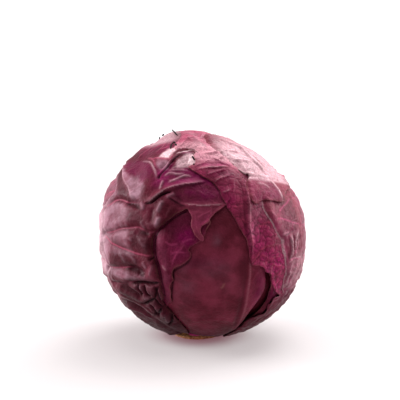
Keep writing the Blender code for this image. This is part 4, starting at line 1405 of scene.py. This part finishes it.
def stump_material():
    """Dry cut stem: tan, streaked along its length and flecked with dark."""
    n = Nodes("stump")
    streaks = n.noise(2.2, 5, 0.7)
    colour = n.mix(n.ramp(streaks, 0.35, 0.65), (0.34, 0.12, 0.04), (0.66, 0.32, 0.13))
    colour = n.mix(n.ramp(n.noise(0.9, 4), 0.55, 0.7), colour, (0.16, 0.07, 0.04))
    n.link(colour, n.shader.inputs["Base Color"])
    n.link(n.ramp(streaks, 0.3, 0.7, 0.65, 0.9), n.shader.inputs["Roughness"])
    n.link(n.bump(streaks, 0.4, 0.8), n.shader.inputs["Normal"])
    return n.material


# ---------------------------------------------------------------- dried slivers on the crown

SLIVER_WIDTH = 1.6       # mm
SLIVERS = [              # the line in degrees, then how far in mm its ends stand off the leaf
    ([(-22.4, 66), (-22.8, 70), (-21.4, 73.6)], (0, 0)), ([(-21.4, 73.6), (-20.2, 71.6)], (0, 0)),
    ([(-20, 70.6), (-18, 67.6)], (0, 0)), ([(-6.8, 58), (-5.2, 55.5)], (0, 0)),
    ([(-5.9, 52.6), (-5.5, 51.4)], (0, 0)), ([(-20.5, 82), (-22.5, 84), (-25, 86)], (0.2, 2.6)),
    ([(-31.5, 83), (-33.5, 82.5)], (2.4, 2.0)), ([(-35.5, 82), (-36.5, 81)], (1.8, 1.2)),
]


def sliver_mesh(line, lifts, stack, parts):
    """Adds a thin tapered sliver that lies on the leaves along a line."""
    way = spline(line, 6)
    vectors = directions(way[:, 0], way[:, 1])
    radii = outer_radius(stack.trees, vectors) + (0.1 + np.linspace(*lifts, len(way))) * MM
    middle = CENTRE + vectors * radii[:, None]
    along = np.gradient(middle, axis=0)
    along /= np.linalg.norm(along, axis=1)[:, None]
    across = np.cross(along, vectors)
    taper = 0.35 + 0.65 * np.sin(np.pi * np.linspace(0.12, 0.88, len(way)))
    half = (SLIVER_WIDTH / 2 * MM * taper)[:, None]
    rings = np.stack([middle + across * half, middle + vectors * half, middle - across * half,
                      middle - vectors * half * 0.6], axis=1)
    start = sum(len(part) for part, _ in parts)
    faces = []
    for k in range(len(way) - 1):
        for j in range(4):
            a, b = start + 4 * k + j, start + 4 * k + (j + 1) % 4
            faces += [(a, b, a + 4), (b, b + 4, a + 4)]
    last = start + 4 * (len(way) - 1)
    faces += [(start, start + 2, start + 1), (start, start + 3, start + 2),
              (last, last + 1, last + 2), (last, last + 2, last + 3)]
    parts.append((rings.reshape(-1, 3), np.array(faces)))


def make_slivers(stack, material):
    """All the slivers as one piece, on the same body as the leaves."""
    parts = []
    for line, lifts in SLIVERS:
        sliver_mesh(line, lifts, stack, parts)
    vertices = np.vstack([part for part, _ in parts])
    triangles = np.vstack([faces for _, faces in parts])
    piece = add_piece("crown_slivers", build_mesh("crown_slivers", vertices, triangles, {}), material)
    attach(piece, "root")


# ---------------------------------------------------------------- the rest of the head

STUMP_SIDES = 220
STUMP_FACE_RINGS = 26    # across the cut face


def stump_rings(turn, around, foot, top):
    """Each ring's distance from the middle and height in mm, from the middle of the face up."""
    frayed = 0.9 * noise(around * 9, 5, 50) + 0.5 * noise(around * 17, 2.2, 51)
    lobes = 0.8 * np.cos(turn - 3.4) + frayed
    rim = 2.6 + 1.2 * noise(around * 10, 6, 52) + 0.6 * noise(around * 17, 2, 53)
    level = np.zeros(STUMP_SIDES)
    rings = []
    for share in np.linspace(0.04, 0.97, STUMP_FACE_RINGS):
        height = 0.12 + 0.1 * noise(around * foot * share, 1.6, 54)
        rings.append((foot * share + lobes * share ** 3, np.maximum(height, 0.0)))
    return rings + [(foot + lobes, level + 0.45), (foot + 0.5 + lobes * 1.15, rim * 0.5),
                    (foot - 0.2 + lobes, rim * 0.85), (foot - 1.4 + lobes * 0.8, rim),
                    (foot - 2.6 + 0.4 * frayed, rim + 1.4), (foot - 2.2 + 0.3 * frayed, level + 9),
                    (level + foot - 2.2, level + top), (level + 0.5 * foot, level + top)]


def make_stump(material):
    """The cut stem: a flat ringed face on the floor, a frayed rim and a side that runs up inside."""
    low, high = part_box("stem_stump")
    foot, top = (high.x - low.x) / 2 / MM, high.z / MM
    turn = np.linspace(0, 2 * math.pi, STUMP_SIDES, endpoint=False)
    around = np.stack([np.cos(turn), np.sin(turn), np.zeros(STUMP_SIDES)], axis=1)
    rings = stump_rings(turn, around, foot, top)
    vertices = [np.stack([radius * around[:, 0], radius * around[:, 1], height], axis=1)
                for radius, height in rings]
    vertices = np.vstack(vertices + [np.array([[0, 0, 0.1], [0, 0, top]])]) * MM
    faces = []
    for k in range(len(rings) - 1):
        for j in range(STUMP_SIDES):
            a, b = k * STUMP_SIDES + j, k * STUMP_SIDES + (j + 1) % STUMP_SIDES
            faces += [(a, b, b + STUMP_SIDES), (a, b + STUMP_SIDES, a + STUMP_SIDES)]
    last, middle = (len(rings) - 1) * STUMP_SIDES, len(rings) * STUMP_SIDES
    for j in range(STUMP_SIDES):
        following = (j + 1) % STUMP_SIDES
        faces += [(following, j, middle), (last + j, last + following, middle + 1)]
    piece = add_piece("cut_stem", build_mesh("cut_stem", vertices, np.array(faces), {}), material)
    finish_piece(piece, "stem_stump")


def ball_mesh(name, subdivisions):
    """A ball of radius 1 about the origin, and its vertices."""
    ball = bmesh.new()
    bmesh.ops.create_icosphere(ball, subdivisions=subdivisions, radius=1.0)
    mesh = bpy.data.meshes.new(name)
    ball.to_mesh(mesh)
    ball.free()
    return mesh, mesh_arrays(mesh)[0]


def move_vertices(mesh, points):
    """Puts a mesh's vertices in their places and shades it smooth."""
    mesh.vertices.foreach_set("co", points.ravel())
    mesh.shade_smooth()


def make_cut_base(node, name, material):
    """The thick fleshy foot of a leaf that was cut off, as a lumpy pad where its CAD piece lies."""
    low, high = np.array(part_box(node))
    middle, half = (low + high) / 2, (high - low) / 2
    mesh, vertices = ball_mesh(name, 5)
    lumps = 1 + 0.14 * noise(vertices * 2, 0.9, 60) + 0.05 * noise(vertices * 2, 0.25, 61)
    squared = np.sign(vertices) * np.abs(vertices) ** 0.8 * lumps[:, None]
    squared[:, 2] *= 0.62 + 0.2 * noise(vertices * 2, 0.7, 62)
    move_vertices(mesh, middle + squared * half * (0.9, 0.75, 0.8))
    finish_piece(add_piece(name, mesh, material), node)


def make_inner_head(head, material):
    """The closed head under the loose leaves, a little smaller than the ball they lie on."""
    mesh, vertices = ball_mesh("closed_head", 6)
    vectors = vertices / np.linalg.norm(vertices, axis=1)[:, None]
    radii = head.radius(vectors) - SINK * MM + 0.5 * MM * noise(vectors * HEAD_RADIUS / MM, 15, 30)
    move_vertices(mesh, CENTRE + vectors * radii[:, None])
    finish_piece(add_piece("closed_head", mesh, material), "inner_head")


def finish_piece(piece, node):
    """Puts the piece on its body, in place of its CAD node, which it hides."""
    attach(piece, "root")
    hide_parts(node)


# ---------------------------------------------------------------- floor, light and camera

CAMERA_DISTANCE = 1.0    # metres
LENS = 123.6             # mm
FRAME_LEFT, FRAME_UP = 0.0022, 0.0248     # metres from the head's centre to the aim
LIGHTS = [               # name, place and size in metres, power in watts
    ("back_right_softbox", (0.4, 0.5, 0.9), 0.8, 20),
    ("overhead_softbox", (0.0, 0.2, 1.5), 1.4, 20),
    ("left_softbox", (-1.0, 0.16, 0.45), 0.6, 22),
    ("right_softbox", (1.0, 0.3, 0.35), 0.6, 12),
]
FLOOR_COLOUR = (0.24, 0.232, 0.233, 1)
# the floor's glow, painted light: reddish at the stem for light thrown back by the red leaves, weaker around
# the head so that its shadow shows, and white far off
GLOW_AT_STEM, GLOW_NEAR, GLOW_FAR = (0.2, 0.09, 0.11), (0.41, 0.365, 0.37), (0.95, 0.95, 0.95)
RED_FADES = (0.018, 0.045)         # metres from the middle of the stem
FLOOR_WHITENS = (0.6, 1.3)         # metres from the same
BRIGHT_TOWARD = (0.1, 0.85, 0.5)   # the brightest part of the studio's walls
WALLS_STRENGTH = (0.42, 0.7)       # on the camera's side, and in the brightest part


def make_camera():
    """A long lens that looks at the head from the front and a little above."""
    camera = bpy.data.objects.new("camera", bpy.data.cameras.new("camera"))
    bpy.context.scene.collection.objects.link(camera)
    camera.location = Vector(CENTRE + SEEN_FROM * CAMERA_DISTANCE)
    aim = Vector(CENTRE + SEEN_UP * FRAME_UP) - Vector((FRAME_LEFT, 0, 0))
    camera.rotation_euler = (aim - camera.location).to_track_quat("-Z", "Y").to_euler()
    camera.data.lens = LENS
    bpy.context.scene.camera = camera


def make_light(name, place, size, power):
    """A square softbox that faces the head."""
    light = bpy.data.lights.new(name, "AREA")
    light.size = size
    light.energy = power
    lamp = bpy.data.objects.new(name, light)
    lamp.location = place
    lamp.rotation_euler = (Vector(CENTRE) - lamp.location).to_track_quat("-Z", "Y").to_euler()
    bpy.context.scene.collection.objects.link(lamp)


def make_stage():
    """The studio: its floor, its world and its lights."""
    bpy.ops.mesh.primitive_plane_add(size=60.0, location=(0, 0, 0))
    floor = bpy.context.object
    floor.name = "studio_floor"
    n = Nodes("studio_floor")
    n.shader.inputs["Base Color"].default_value = FLOOR_COLOUR
    n.shader.inputs["Roughness"].default_value = 0.8
    n.shader.inputs["Specular IOR Level"].default_value = 0.1
    away = n.tree.nodes.new("ShaderNodeVectorMath")
    away.operation = "LENGTH"
    n.link(n.place, away.inputs[0])
    glow = n.mix(n.ramp(away.outputs["Value"], *RED_FADES), GLOW_AT_STEM, GLOW_NEAR)
    glow = n.mix(n.ramp(away.outputs["Value"], *FLOOR_WHITENS), glow, GLOW_FAR)
    n.link(glow, n.shader.inputs["Emission Color"])
    n.shader.inputs["Emission Strength"].default_value = 1.0
    floor.data.materials.append(n.material)
    make_world()
    bpy.context.scene.view_settings.view_transform = "Standard"
    for light in LIGHTS:
        make_light(*light)


def make_world():
    """White all round, brighter behind and above the head than on the camera's side."""
    world = bpy.data.worlds.new("studio")
    world.use_nodes = True
    tree = world.node_tree
    place = tree.nodes.new("ShaderNodeTexCoord")
    toward = tree.nodes.new("ShaderNodeVectorMath")
    toward.operation = "DOT_PRODUCT"
    toward.inputs[1].default_value = Vector(BRIGHT_TOWARD).normalized()
    shade = tree.nodes.new("ShaderNodeMapRange")
    shade.interpolation_type = "SMOOTHSTEP"
    shade.inputs["From Min"].default_value = -0.5
    shade.inputs["From Max"].default_value = 0.7
    shade.inputs["To Min"].default_value = WALLS_STRENGTH[0]
    shade.inputs["To Max"].default_value = WALLS_STRENGTH[1]
    tree.links.new(place.outputs["Generated"], toward.inputs[0])
    tree.links.new(toward.outputs["Value"], shade.inputs["Value"])
    tree.links.new(shade.outputs["Result"], tree.nodes["Background"].inputs["Strength"])
    tree.nodes["Background"].inputs["Color"].default_value = (1, 1, 1, 1)
    bpy.context.scene.world = world


FITTING_ROUNDS = 2       # times the leaves are laid roughly to fit the ball under them


def main():
    """Every piece, each leaf on the ones before it, and then the studio."""
    materials = make_materials()
    slots = {part["node"]: part["material_slot"] for part in frame["record"]["subparts"]}
    head = Head()
    for _ in range(FITTING_ROUNDS):
        head.fit(trial_stack(head))
    make_inner_head(head, materials["inner_head"])
    stack = Stack(head)
    for name, spec in LEAVES.items():
        sheet = Sheet(name, spec)
        SHAPES[name](sheet)
        leaf = make_leaf(sheet, stack, materials[slots[name]])
        finish_piece(leaf, name)
    make_slivers(stack, materials["slivers"])
    make_stump(materials["stump"])
    make_cut_base("cut_leaf_base_front", "front_cut_flesh", materials["cut_flesh"])
    make_cut_base("cut_leaf_base_back", "back_cut_flesh", materials["cut_flesh"])
    make_stage()
    make_camera()


main()
